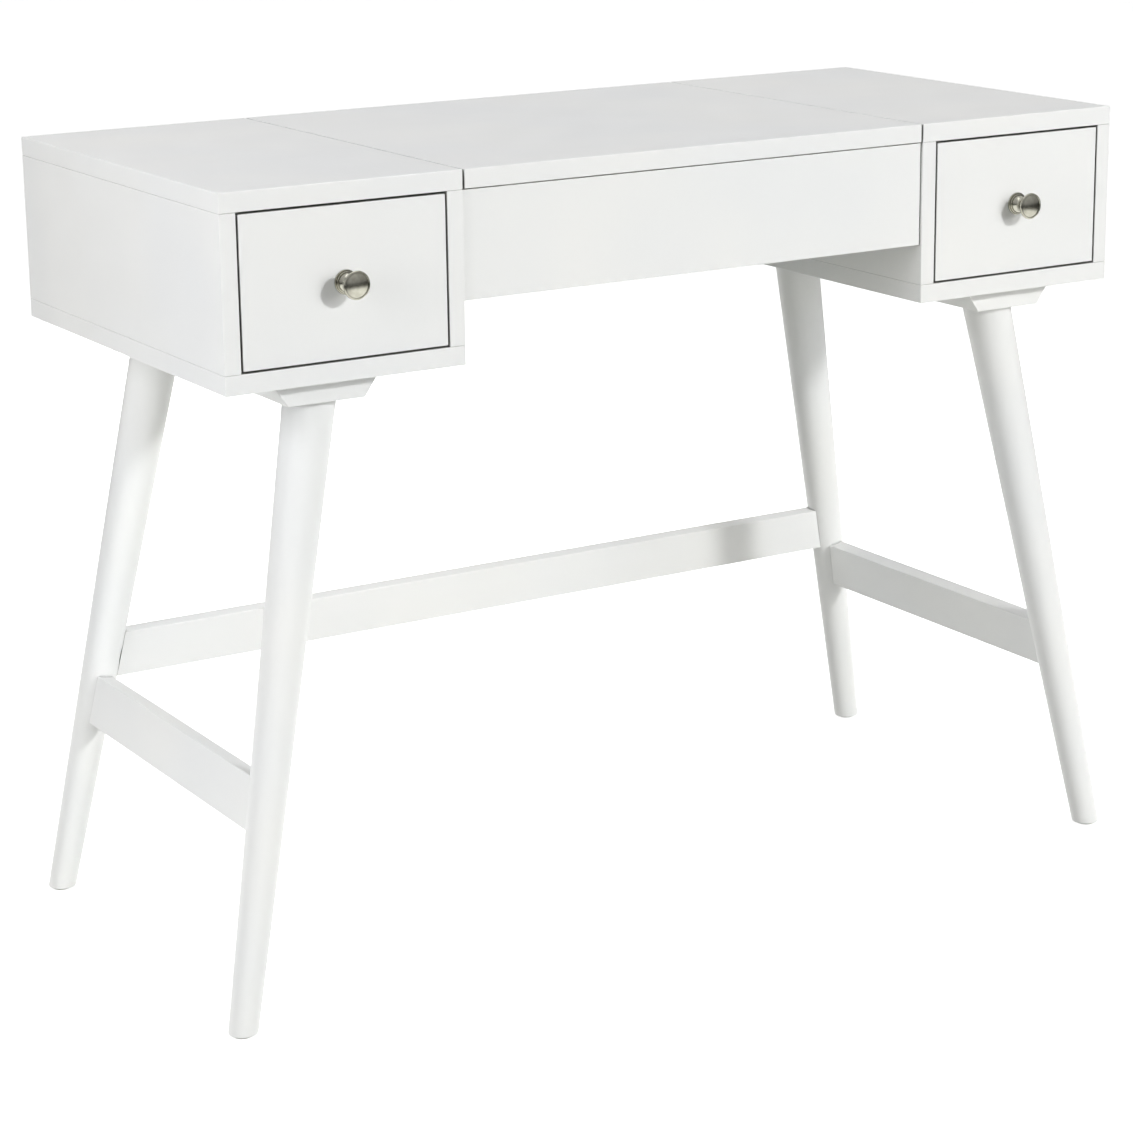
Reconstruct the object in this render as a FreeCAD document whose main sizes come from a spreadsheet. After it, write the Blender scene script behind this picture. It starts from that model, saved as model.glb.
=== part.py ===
"""Vanity table: two drawer cabinets on splayed legs, with a flip-top mirror lid between them.

Frame: millimetres, +Z up, the front faces -Y, z = 0 on the floor, origin under the middle of the whole table.
Driving sizes are plain numbers in the sheet "size"; places worked out from them are formulas in the sheet
"spot".
"""
import FreeCAD, Part
import os

import Sketcher
from FreeCAD import Vector

DRIVING_SIZES = [
    # alias, value, what it is
    ("table_width", 986, "left end to right end"),
    ("table_height", 768, "floor to top"),
    ("cabinet_depth", 444, "front face to back face"),
    ("cabinet_width", 237, "one cabinet"),
    ("cabinet_height", 176, "one cabinet"),
    ("top_board", 18, "thickness of a cabinet's top and bottom"),
    ("side_board", 16, "thickness of a cabinet's sides"),
    ("back_board", 9, "thickness of a cabinet's back"),
    ("edge_round", 0.8, "eased edge of every painted board"),
    ("lid_thickness", 17.5, ""),
    ("lid_side_gap", 2, "lid to cabinet"),
    ("lid_seat_gap", 1, "lid to the rails under it"),
    ("apron_height", 100, "front rail under the lid"),
    ("apron_thickness", 18, ""),
    ("apron_setback", 3, "apron behind the cabinets' front faces"),
    ("tray_back_thickness", 16, "rear rail under the lid"),
    ("tray_bottom_thickness", 9, ""),
    ("tray_bottom_recess", 6, "tray bottom above the apron's lower edge"),
    ("joint_line", 0.4, "open line where the rails meet the cabinets"),
    ("bumper_radius", 4, "cushion under the lid"),
    ("bumper_inset", 30, "cushion from the apron's end"),
    ("bumper_air", 0.2, "cushion to lid"),
    ("cleat_height", 22, "beam between a cabinet and its legs"),
    ("cleat_top_width", 107, ""),
    ("cleat_foot_width", 76, ""),
    ("cleat_setback", 22.5, "cleat's end from the cabinet's face"),
    ("cleat_inset", 108, "cleat's centre line from the table's end"),
    ("cleat_screw_near", 55, "screw from the middle of the cleat"),
    ("cleat_screw_far", 125, "screw from the middle of the cleat"),
    ("cleat_screw_length", 36, ""),
    ("cleat_screw_radius", 2, ""),
    ("leg_inset", 57, "top of a leg from the cabinet's face"),
    ("leg_splay_side", 113, "foot further out than the leg's top"),
    ("leg_splay_front", 49, "foot further out than the leg's top"),
    ("leg_top_radius", 24.2, ""),
    ("leg_foot_radius", 13.8, ""),
    ("leg_edge_round", 1.2, ""),
    ("leg_bolt_radius", 4, ""),
    ("leg_bolt_in_leg", 45, "length in the leg"),
    ("leg_bolt_in_cleat", 18, "length in the cleat"),
    ("glide_height", 2, "nylon pad under a foot"),
    ("glide_radius", 10, ""),
    ("rail_thickness", 17, "stretcher boards"),
    ("side_rail_height", 50, ""),
    ("side_rail_middle", 202.5, "height of its middle over the floor"),
    ("rear_rail_height", 46, ""),
    ("rear_rail_middle", 246, "height of its middle over the floor"),
    ("cope_gap", 0.2, "stretcher end to leg"),
    ("dowel_radius", 4, ""),
    ("dowel_length", 32, ""),
    ("dowel_start", 4, "dowel's end from the leg's axis"),
    ("dowel_end_gap", 1, "room past a dowel's end"),
    ("peg_gap", 0.1, "all round a dowel, bolt or screw in its hole"),
    ("drawer_reveal", 2, "gap all round a drawer front"),
    ("drawer_front", 18, "thickness"),
    ("drawer_side", 12, "thickness of the box's sides and back"),
    ("drawer_wall_height", 110, ""),
    ("drawer_wall_lift", 14, "box's lower edge over the cabinet's bottom"),
    ("drawer_length", 400, "of the box, behind its front"),
    ("drawer_bottom", 5, "thickness"),
    ("drawer_groove_lift", 10, "bottom panel over the box's lower edge"),
    ("drawer_groove_depth", 5, ""),
    ("groove_gap", 0.2, "bottom panel to the walls of its grooves"),
    ("drawer_travel", 270, "closed to fully open"),
    ("runner_space", 12.7, "cabinet wall to drawer box"),
    ("runner_sheet", 1.2, "steel of the runners"),
    ("case_runner_height", 35, ""),
    ("case_runner_lip", 9.5, "depth of the channel"),
    ("drawer_runner_height", 20, ""),
    ("drawer_runner_lip", 8.7, "depth of the channel"),
    ("cage_sheet", 0.8, ""),
    ("cage_length", 150, ""),
    ("cage_height", 26.8, ""),
    ("cage_start", 5, "cage behind the case runner's front end, drawer fully open"),
    ("cage_air", 1, "cage to the case runner's web"),
    ("ball_radius", 2.8, ""),
    ("ball_count", 6, "in a row"),
    ("knob_reach", 24, "drawer face to the knob's front"),
    ("knob_foot_radius", 11, ""),
    ("knob_foot_height", 2, ""),
    ("knob_ring_radius", 9.4, "step on the foot"),
    ("knob_ring_height", 4.6, "top of the step"),
    ("knob_neck_radius", 5.5, ""),
    ("knob_neck_start", 7, "height of the neck's lower end"),
    ("knob_neck_middle", 10, "height where the neck is thinnest"),
    ("knob_flare_radius", 8.6, "neck where it opens out"),
    ("knob_flare_height", 16.6, ""),
    ("knob_head_radius", 12.9, ""),
    ("knob_head_thickness", 5, ""),
    ("knob_head_edge", 0.8, "bevel round the face"),
    ("knob_dome", 1.6, "rise of the face"),
    ("knob_screw_radius", 2, ""),
    ("knob_screw_length", 28, ""),
    ("knob_screw_head_radius", 4.2, ""),
    ("knob_screw_head_height", 2, ""),
    ("hinge_length", 63, ""),
    ("hinge_centre", 170, "hinge's middle from the table's middle"),
    ("hinge_leaf", 16, "leaf's edge from the pin"),
    ("hinge_sheet", 1.2, ""),
    ("knuckle_radius", 2.75, ""),
    ("knuckle_gap", 0.35, "knuckle to board, leaf and the next knuckle"),
    ("hinge_pin_radius", 1.5, ""),
    ("hinge_pin_gap", 0.05, ""),
    ("fitting_screw_length", 12, "screws of hinges and stays"),
    ("fitting_screw_radius", 1.5, ""),
    ("fitting_head_radius", 3, ""),
    ("fitting_head_height", 1.2, ""),
    ("hinge_screw_spread", 20, "screw from the hinge's middle"),
    ("hinge_screw_reach", 10, "screw from the pin"),
    ("stay_case_reach", 50, "case pivot in front of the hinge pin"),
    ("stay_case_drop", 65, "case pivot below the hinge pin"),
    ("stay_lid_reach", 161, "lid pivot in front of the hinge pin"),
    ("stay_lid_drop", 14, "lid pivot below the hinge pin"),
    ("lower_arm_length", 162, "pivot to pivot"),
    ("upper_arm_length", 80, "pivot to pivot"),
    ("arm_width", 12, ""),
    ("arm_sheet", 2, ""),
    ("arm_air", 0.5, "between an arm and what lies beside it"),
    ("stay_sheet", 1.5, "brackets"),
    ("stay_plate_length", 44, ""),
    ("stay_pin_radius", 2.5, ""),
    ("stay_pin_gap", 0.1, ""),
    ("stay_head_radius", 4.5, ""),
    ("stay_head_height", 1.2, ""),
    ("stay_screw_spread", 15, "bracket screw from the pivot"),
    ("knee_pin_radius", 2, ""),
    ("knee_pin_gap", 1.4, "play of the knee in the upper arm"),
    ("mirror_width", 404, "glass"),
    ("mirror_depth", 304, "glass"),
    ("mirror_glass", 4, "thickness"),
    ("mirror_arris", 0.3, "polished edge of the glass"),
    ("mirror_frame_width", 26, ""),
    ("mirror_frame_thickness", 9, ""),
    ("mirror_lap", 4, "frame over the glass"),
    ("mirror_gap", 0.3, "glass to the frame's rebate"),
]

DERIVED_PLACES = [
    # alias, formula
    ("half_width", "=size.table_width / 2"),
    ("hinge_setback", "=size.knuckle_radius + size.knuckle_gap"),
    ("hinge_overhang", "=hinge_setback + size.knuckle_radius"),
    ("front", "=(size.knob_reach - size.cabinet_depth - hinge_overhang) / 2"),
    ("back", "=front + size.cabinet_depth"),
    ("middle", "=(front + back) / 2"),
    ("cabinet_floor", "=size.table_height - size.cabinet_height"),
    ("leg_height", "=cabinet_floor - size.cleat_height"),
    ("inner_wall", "=half_width - size.cabinet_width"),
    ("lid_under", "=size.table_height - size.lid_thickness"),
    ("rail_top", "=lid_under - size.lid_seat_gap"),
    ("apron_floor", "=rail_top - size.apron_height"),
    ("apron_face", "=front + size.apron_setback"),
    ("tray_floor", "=apron_floor + size.tray_bottom_recess + size.tray_bottom_thickness"),
    ("cleat_x", "=half_width - size.cleat_inset"),
    ("head_y", "=size.cabinet_depth / 2 - size.leg_inset"),
    ("foot_x", "=cleat_x + size.leg_splay_side"),
    ("foot_y", "=head_y + size.leg_splay_front"),
    ("leg_axis", "=sqrt(size.leg_splay_side ^ 2 + size.leg_splay_front ^ 2 + leg_height ^ 2)"),
    ("leg_lean", "=atan2(sqrt(size.leg_splay_side ^ 2 + size.leg_splay_front ^ 2); leg_height)"),
    ("leg_taper", "=(size.leg_top_radius - size.leg_foot_radius) / leg_axis"),
    ("opening_width", "=size.cabinet_width - 2 * size.side_board"),
    ("opening_floor", "=cabinet_floor + size.top_board"),
    ("opening_height", "=size.cabinet_height - 2 * size.top_board"),
    ("drawer_x", "=half_width - size.cabinet_width / 2"),
    ("drawer_y", "=front + size.drawer_front"),
    ("box_half", "=opening_width / 2 - size.runner_space"),
    ("box_floor", "=opening_floor + size.drawer_wall_lift"),
    ("runner_z", "=box_floor + size.drawer_wall_height / 2"),
    ("ball_z", "=(size.case_runner_height / 2 - size.runner_sheet + size.drawer_runner_height / 2) / 2"),
    ("knob_z", "=opening_floor + opening_height / 2"),
    ("pin_y", "=back + hinge_setback"),
    ("pin_z", "=lid_under - size.lid_seat_gap / 2"),
    ("stay_dy", "=size.stay_case_reach - size.stay_lid_reach"),
    ("stay_dz", "=size.stay_case_drop - size.stay_lid_drop"),
    ("stay_span", "=sqrt(stay_dy ^ 2 + stay_dz ^ 2)"),
    (
        "knee_along",
        "=(stay_span ^ 2 + size.lower_arm_length ^ 2 - size.upper_arm_length ^ 2) / (2 * stay_span)",
    ),
    ("knee_aside", "=sqrt(size.lower_arm_length ^ 2 - knee_along ^ 2)"),
    ("case_pivot_y", "=pin_y - size.stay_case_reach"),
    ("case_pivot_z", "=pin_z - size.stay_case_drop"),
    ("lid_pivot_y", "=pin_y - size.stay_lid_reach"),
    ("lid_pivot_z", "=pin_z - size.stay_lid_drop"),
    ("knee_y", "=case_pivot_y + (stay_dy * knee_along - stay_dz * knee_aside) / stay_span"),
    ("knee_z", "=case_pivot_z + (stay_dz * knee_along + stay_dy * knee_aside) / stay_span"),
    ("bracket_face", "=inner_wall - size.stay_sheet - size.arm_air"),
    ("lower_arm_x", "=bracket_face - size.fitting_head_height - size.arm_sheet"),
    ("upper_arm_x", "=lower_arm_x - size.arm_air - size.arm_sheet"),
    ("ear_x", "=upper_arm_x - size.arm_air - size.stay_sheet"),
]

SIDES = {"left": -1, "right": 1}
ENDS = {"front": -1, "back": 1}
TRIM = 15  # a leg's blank runs this far past its two level cuts
PAST = 1  # a cutter runs this far out of each face that it goes through
LAP = 1  # parts fused into one piece run this far into each other
HEAD_FLAT = 0.6  # flat share of a pan head's radius
HEAD_RIM = 0.3  # straight share of a pan head's height

TURNS = {  # what turns +Z to each direction
    "+z": "rotation(vector(0; 0; 1); 0)",
    "-z": "rotation(vector(1; 0; 0); 180)",
    "+y": "rotation(vector(1; 0; 0); -90)",
    "-y": "rotation(vector(1; 0; 0); 90)",
    "+x": "rotation(vector(0; 1; 0); 90)",
    "-x": "rotation(vector(0; 1; 0); -90)",
}

doc = FreeCAD.newDocument("vanity_table")
pieces = {}


# ---------------------------------------------------------------- the two sheets

def fill_sheet(name, rows):
    """Write one named cell after another; the first column holds the names, the second the values."""
    sheet = doc.addObject("Spreadsheet::Sheet", name)
    for number, row in enumerate(rows, 1):
        alias, value = row[0], row[1]
        sheet.set(f"A{number}", alias)
        sheet.set(f"B{number}", str(value))
        sheet.setAlias(f"B{number}", alias)
        if len(row) > 2:
            sheet.set(f"C{number}", row[2])
    doc.recompute()
    return sheet


size = fill_sheet("size", DRIVING_SIZES)
spot = fill_sheet("spot", DERIVED_PLACES)


# ---------------------------------------------------------------- small helpers

def vec(x, y, z):
    return f"vector({x}; {y}; {z})"


def bind(item, **formulas):
    for name, formula in formulas.items():
        item.setExpression(name, str(formula))
    return item


def locate(item, at, turn=TURNS["+z"]):
    """Bind an object's whole placement to a point and a turn."""
    item.setExpression("Placement", f"placement({vec(*at)}; {turn})")
    return item


def keep(label, item):
    """Name a finished sub-part; the name is also its file's."""
    item.Label = label
    pieces[label] = item
    return item


def primitive(kind, name, at, turn=TURNS["+z"], **sizes):
    item = doc.addObject("Part::" + kind, name)
    bind(item, **sizes)
    return locate(item, at, turn)


def cut(name, base, tools):
    result = doc.addObject("Part::Cut", name)
    result.Base = base
    result.Tool = tools[0] if len(tools) == 1 else group(name + "_tools", tools)
    return result


def fuse(name, items):
    result = doc.addObject("Part::MultiFuse", name)
    result.Shapes = items
    result.Refine = True
    return result


def group(name, items):
    """Separate solids side by side in one object, such as a set of like screws."""
    result = doc.addObject("Part::Compound", name)
    result.Links = items
    return result


def feature(body, kind, name, at=None, turn=TURNS["+z"], **sizes):
    """Add one PartDesign feature to a body, in the body's own frame."""
    item = body.newObject("PartDesign::" + kind, name)
    bind(item, **sizes)
    if at is not None:
        locate(item, at, turn)
    return item


def new_body(name, at=("0", "0", "0"), turn=TURNS["+z"]):
    return locate(doc.addObject("PartDesign::Body", name), at, turn)


def eased(body, radius="size.edge_round"):
    """Round every edge of a board, as sanding and paint leave it."""
    base = body.Tip
    rounding = body.newObject("PartDesign::Fillet", body.Name + "_eased")
    rounding.Base = (base, [])
    rounding.UseAllEdges = True
    bind(rounding, Radius=radius)
    return body


def board(name, corner, lengths, radius="size.edge_round"):
    """A flat board with eased edges: its lowest corner, and its lengths along X, Y and Z."""
    body = new_body(name, corner)
    feature(body, "AdditiveBox", name + "_blank", Length=lengths[0], Width=lengths[1], Height=lengths[2])
    return eased(body, radius)


def mirrored(side, near, width):
    """Lowest x of a span that runs outwards from near on the right, and its mirror image on the left."""
    return f"{near}" if side > 0 else f"-({near}) - ({width})"


def outline(body, name, role, corners):
    """A closed sketch of straight lines on one of the body's origin planes, each corner bound to formulas."""
    sketch = body.newObject("Sketcher::SketchObject", name)
    plane = next(p for p in body.Origin.OriginFeatures if p.Role == role)
    sketch.AttachmentSupport = [(plane, "")]
    sketch.MapMode = "FlatFace"
    points = [Vector(*(float(size.evalExpression(str(f))) for f in corner), 0) for corner in corners]
    count = len(points)
    for number in range(count):
        sketch.addGeometry(Part.LineSegment(points[number], points[(number + 1) % count]), False)
    for number in range(count):
        sketch.addConstraint(Sketcher.Constraint("Coincident", number, 2, (number + 1) % count, 1))
    for number, (corner, point) in enumerate(zip(corners, points)):
        for kind, formula, value in (("DistanceX", corner[0], point.x), ("DistanceY", corner[1], point.y)):
            index = sketch.addConstraint(Sketcher.Constraint(kind, -1, 1, number, 1, value))
            sketch.setExpression(f"Constraints[{index}]", str(formula))
    return sketch


def pad(body, name, sketch, length, reverse=False):
    item = body.newObject("PartDesign::Pad", name)
    item.Profile = sketch
    item.Reversed = reverse
    return bind(item, Length=length)


def turned(name, profile, at, turn=TURNS["+z"]):
    """A body turned round its own Z from a profile of (radius, height) corners."""
    body = new_body(name, at, turn)
    sketch = outline(body, name + "_profile", "XZ_Plane", profile)
    revolved = body.newObject("PartDesign::Revolution", name + "_turned")
    revolved.Profile = sketch
    revolved.ReferenceAxis = (sketch, ["V_Axis"])
    revolved.Angle = 360
    return body


def drill(name, at, direction, radius, length):
    """A round cutter that starts just outside the face at the point given."""
    x, y, z = at
    back = {"x": 0, "y": 1, "z": 2}[direction[1]]
    start = [x, y, z]
    sign = "-" if direction[0] == "+" else "+"
    start[back] = f"({start[back]}) {sign} {PAST}"
    return primitive(
        "Cylinder", name, start, TURNS[direction], Radius=radius, Height=f"{length} + {PAST}"
    )


# ---------------------------------------------------------------- fasteners

def fitting_screw(name, at, direction, sheet):
    """A small pan-head screw through a sheet; the point is on the sheet's outer face."""
    head_profile = [
        ("0", "-size.fitting_head_height"),
        (f"size.fitting_head_radius * {HEAD_FLAT}", "-size.fitting_head_height"),
        ("size.fitting_head_radius", f"-size.fitting_head_height * {HEAD_RIM}"),
        ("size.fitting_head_radius", "0"),
        ("size.fitting_screw_radius", "0"),
        ("size.fitting_screw_radius", f"{sheet} + size.fitting_screw_length - size.fitting_screw_radius"),
        ("0", f"{sheet} + size.fitting_screw_length"),
    ]
    return turned(name, head_profile, at, TURNS[direction])


def fitting_hole(name, at, direction, sheet):
    return drill(
        name, at, direction, "size.fitting_screw_radius + size.peg_gap",
        f"{sheet} + size.fitting_screw_length + size.peg_gap",
    )


# ---------------------------------------------------------------- legs, dowels and stretchers

def leg_turn(side, end):
    """Turns +Z to a leg's axis, which leans inwards and towards the middle."""
    axis = vec(f"{end} * size.leg_splay_front", f"{-side} * size.leg_splay_side", "0")
    return f"rotation({axis}; spot.leg_lean)"


def leg_point(side, end, share):
    """A point on a leg's axis; share is 0 at the floor and 1 at the cleat."""
    return (
        f"{side} * (spot.foot_x - size.leg_splay_side * ({share}))",
        f"spot.middle + {end} * (spot.foot_y - size.leg_splay_front * ({share}))",
        f"spot.leg_height * ({share})",
    )


def leg_cutter(name, side, end):
    """The leg's own cone with the cope gap all round."""
    return primitive(
        "Cone", name, leg_point(side, end, f"-{TRIM} / spot.leg_axis"), leg_turn(side, end),
        Radius1=f"size.leg_foot_radius - spot.leg_taper * {TRIM} + size.cope_gap",
        Radius2=f"size.leg_top_radius + spot.leg_taper * {TRIM} + size.cope_gap",
        Height=f"spot.leg_axis + 2 * {TRIM}",
    )


def dowel_place(kind, side, end):
    """Start point and direction of the dowel from a leg into a side or rear stretcher."""
    height = "size.side_rail_middle" if kind == "side" else "size.rear_rail_middle"
    x, y, z = leg_point(side, end, f"{height} / spot.leg_height")
    if kind == "side":
        return (x, f"{y} - {end} * size.dowel_start", z), "+y" if end < 0 else "-y"
    return (f"{x} - {side} * size.dowel_start", y, z), "+x" if side < 0 else "-x"


dowels, dowel_holes = [], {}
for side_name, side in SIDES.items():
    for end_name, end in ENDS.items():
        kinds = ["side", "rear"] if end_name == "back" else ["side"]
        for kind in kinds:
            at, direction = dowel_place(kind, side, end)
            name = f"{side_name}_{end_name}_{kind}_dowel"
            dowels.append(
                primitive("Cylinder", name, at, TURNS[direction],
                          Radius="size.dowel_radius", Height="size.dowel_length")
            )
            dowel_holes[side_name, end_name, kind] = drill(
                name + "_hole", at, direction, "size.dowel_radius + size.peg_gap",
                "size.dowel_length + size.dowel_end_gap",
            )
keep("stretcher_dowels", group("stretcher_dowels", dowels))

leg_bolts, leg_bolt_holes, cleat_bolt_holes, leg_cutters = [], {}, {}, {}
for side_name, side in SIDES.items():
    for end_name, end in ENDS.items():
        name = f"{side_name}_{end_name}"
        foot = leg_point(side, end, "0")
        blank = new_body(name + "_leg_blank", foot)
        start = [
            f"{side} * size.leg_splay_side * {TRIM} / spot.leg_axis",
            f"{end} * size.leg_splay_front * {TRIM} / spot.leg_axis",
            f"-spot.leg_height * {TRIM} / spot.leg_axis",
        ]
        feature(
            blank, "AdditiveCone", name + "_taper", start, leg_turn(side, end),
            Radius1=f"size.leg_foot_radius - spot.leg_taper * {TRIM}",
            Radius2=f"size.leg_top_radius + spot.leg_taper * {TRIM}",
            Height=f"spot.leg_axis + 2 * {TRIM}",
        )
        for level, low in (("foot", f"size.glide_height - 2 * {TRIM}"), ("head", "spot.leg_height")):
            feature(
                blank, "SubtractiveBox", f"{name}_{level}_cut",
                ("-2 * size.leg_splay_side", "-2 * size.leg_splay_side", low),
                Length="4 * size.leg_splay_side", Width="4 * size.leg_splay_side", Height=f"2 * {TRIM}",
            )
        eased(blank, "size.leg_edge_round")
        bolt_start = leg_point(side, end, "1 - size.leg_bolt_in_leg / spot.leg_axis")
        bolt_length = "size.leg_bolt_in_leg + size.leg_bolt_in_cleat"
        leg_bolts.append(
            primitive("Cylinder", name + "_bolt", bolt_start, leg_turn(side, end),
                      Radius="size.leg_bolt_radius", Height=bolt_length)
        )
        hole = primitive(
            "Cylinder", name + "_bolt_hole",
            leg_point(side, end, "1 - (size.leg_bolt_in_leg + size.peg_gap) / spot.leg_axis"),
            leg_turn(side, end),
            Radius="size.leg_bolt_radius + size.peg_gap", Height=f"{bolt_length} + 2 * size.peg_gap",
        )
        cleat_bolt_holes[side_name, end_name] = hole
        holes = [hole] + [h for key, h in dowel_holes.items() if key[:2] == (side_name, end_name)]
        keep(name + "_leg", cut(name + "_leg", blank, holes))
        leg_cutters[side_name, end_name] = leg_cutter(name + "_cope", side, end)
keep("leg_bolts", group("leg_bolts", leg_bolts))

glides = [
    primitive("Cylinder", f"{a}_{b}_glide", leg_point(SIDES[a], ENDS[b], "0"),
              Radius="size.glide_radius", Height="size.glide_height")
    for a in SIDES for b in ENDS
]
keep("leg_glides", group("leg_glides", glides))

for side_name, side in SIDES.items():
    share = "size.side_rail_middle / spot.leg_height"
    x, _, z = leg_point(side, 1, share)
    reach = f"spot.foot_y - size.leg_splay_front * {share}"
    lean = f"rotation(vector(0; 1; 0); {-side} * atan2(size.leg_splay_side; spot.leg_height))"
    rail = new_body(side_name + "_side_rail_blank", (x, "spot.middle", z), lean)
    feature(
        rail, "AdditiveBox", side_name + "_side_rail_board",
        ("-size.rail_thickness / 2", f"-({reach})", "-size.side_rail_height / 2"),
        Length="size.rail_thickness", Width=f"2 * ({reach})", Height="size.side_rail_height",
    )
    eased(rail)
    tools = [leg_cutters[side_name, e] for e in ENDS] + [dowel_holes[side_name, e, "side"] for e in ENDS]
    keep(side_name + "_side_stretcher", cut(side_name + "_side_stretcher", rail, tools))

share = "size.rear_rail_middle / spot.leg_height"
_, y, z = leg_point(1, 1, share)
reach = f"spot.foot_x - size.leg_splay_side * {share}"
lean = "rotation(vector(1; 0; 0); atan2(size.leg_splay_front; spot.leg_height))"
rail = new_body("rear_rail_blank", ("0", y, z), lean)
feature(
    rail, "AdditiveBox", "rear_rail_board",
    (f"-({reach})", "-size.rail_thickness / 2", "-size.rear_rail_height / 2"),
    Length=f"2 * ({reach})", Width="size.rail_thickness", Height="size.rear_rail_height",
)
eased(rail)
tools = [leg_cutters[s, "back"] for s in SIDES] + [dowel_holes[s, "back", "rear"] for s in SIDES]
keep("rear_stretcher", cut("rear_stretcher", rail, tools))


# ---------------------------------------------------------------- cleats under the cabinets

cleat_screws, bottom_holes = [], {}
for side_name, side in SIDES.items():
    blank = new_body(
        side_name + "_cleat_blank",
        (f"{side} * spot.cleat_x", "spot.back - size.cleat_setback", "spot.leg_height"),
    )
    section = outline(
        blank, side_name + "_cleat_section", "XZ_Plane",
        [
            ("-size.cleat_foot_width / 2", "0"),
            ("size.cleat_foot_width / 2", "0"),
            ("size.cleat_top_width / 2", "size.cleat_height"),
            ("-size.cleat_top_width / 2", "size.cleat_height"),
        ],
    )
    pad(blank, side_name + "_cleat_beam", section, "size.cabinet_depth - 2 * size.cleat_setback")
    eased(blank)
    holes = []
    for end in ENDS.values():
        for offset in ("size.cleat_screw_near", "size.cleat_screw_far"):
            spots = (f"{side} * spot.cleat_x", f"spot.middle + {end} * {offset}", "spot.opening_floor")
            name = f"{side_name}_cleat_screw_{len(holes)}"
            profile = [
                ("0", "0"),
                ("2 * size.cleat_screw_radius", "0"),
                ("size.cleat_screw_radius", "size.cleat_screw_radius"),
                ("size.cleat_screw_radius", "size.cleat_screw_length - size.cleat_screw_radius"),
                ("0", "size.cleat_screw_length"),
            ]
            cleat_screws.append(turned(name, profile, spots, TURNS["-z"]))
            cutter = [
                ("0", f"-{PAST}"),
                (f"2 * size.cleat_screw_radius + size.peg_gap + {PAST}", f"-{PAST}"),
                ("size.cleat_screw_radius + size.peg_gap", "size.cleat_screw_radius"),
                ("size.cleat_screw_radius + size.peg_gap", "size.cleat_screw_length + size.peg_gap"),
                ("0", "size.cleat_screw_length + size.peg_gap"),
            ]
            holes.append(turned(name + "_hole", cutter, spots, TURNS["-z"]))
    bottom_holes[side_name] = holes
    bolts = [cleat_bolt_holes[side_name, e] for e in ENDS]
    keep(side_name + "_leg_cleat", cut(side_name + "_leg_cleat", blank, bolts + holes))
keep("cleat_screws", group("cleat_screws", cleat_screws))


# ---------------------------------------------------------------- cabinets

def stay_case_screw_spots(side):
    """Where the two screws of a case bracket enter, on the bracket's inner face."""
    x = f"{side} * (spot.inner_wall - size.stay_sheet)"
    return [
        (x, f"spot.case_pivot_y + {step} * size.stay_screw_spread", "spot.case_pivot_z") for step in (-1, 1)
    ]


case_screws = []
for side_name, side in SIDES.items():
    outwards = "+x" if side > 0 else "-x"
    for level, low in (("top", "size.table_height - size.top_board"), ("bottom", "spot.cabinet_floor")):
        name = f"{side_name}_cabinet_{level}"
        panel = board(
            name + "_panel",
            (mirrored(side, "spot.inner_wall", "size.cabinet_width"), "spot.front", low),
            ("size.cabinet_width", "size.cabinet_depth", "size.top_board"),
        )
        keep(name, panel if level == "top" else cut(name, panel, bottom_holes[side_name]))
    for wall, near in (("inner", "spot.inner_wall"), ("outer", "spot.half_width - size.side_board")):
        name = f"{side_name}_cabinet_{wall}_side"
        panel = board(
            name + "_panel",
            (mirrored(side, near, "size.side_board"), "spot.front", "spot.opening_floor"),
            ("size.side_board", "size.cabinet_depth", "spot.opening_height"),
        )
        if wall == "inner":
            holes = []
            for at in stay_case_screw_spots(side):
                case_screws.append(
                    fitting_screw(f"{name}_screw_{len(holes)}", at, outwards, "size.stay_sheet")
                )
                holes.append(fitting_hole(f"{name}_hole_{len(holes)}", at, outwards, "size.stay_sheet"))
            panel = cut(name, panel, holes)
        keep(name, panel)
    keep(
        side_name + "_cabinet_back",
        board(
            side_name + "_cabinet_back",
            (
                mirrored(side, "spot.inner_wall + size.side_board", "spot.opening_width"),
                "spot.back - size.back_board",
                "spot.opening_floor",
            ),
            ("spot.opening_width", "size.back_board", "spot.opening_height"),
        ),
    )


# ---------------------------------------------------------------- the tray between the cabinets

tray_half = "spot.inner_wall - size.joint_line"
keep(
    "front_apron",
    board(
        "front_apron",
        (f"-({tray_half})", "spot.apron_face", "spot.apron_floor"),
        (f"2 * ({tray_half})", "size.apron_thickness", "size.apron_height"),
    ),
)
keep(
    "tray_bottom",
    board(
        "tray_bottom",
        (
            f"-({tray_half})",
            "spot.apron_face + size.apron_thickness",
            "spot.apron_floor + size.tray_bottom_recess",
        ),
        (
            f"2 * ({tray_half})",
            "size.cabinet_depth - size.apron_setback - size.apron_thickness - size.tray_back_thickness",
            "size.tray_bottom_thickness",
        ),
    ),
)
bumpers = [
    primitive(
        "Cylinder", f"{side_name}_bumper",
        (
            f"{side} * ({tray_half} - size.bumper_inset)",
            "spot.apron_face + size.apron_thickness / 2",
            "spot.rail_top",
        ),
        Radius="size.bumper_radius", Height="size.lid_seat_gap - size.bumper_air",
    )
    for side_name, side in SIDES.items()
]
keep("lid_bumpers", group("lid_bumpers", bumpers))


# ---------------------------------------------------------------- hinges

KNUCKLES = 3  # the middle one is the lid leaf's


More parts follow.
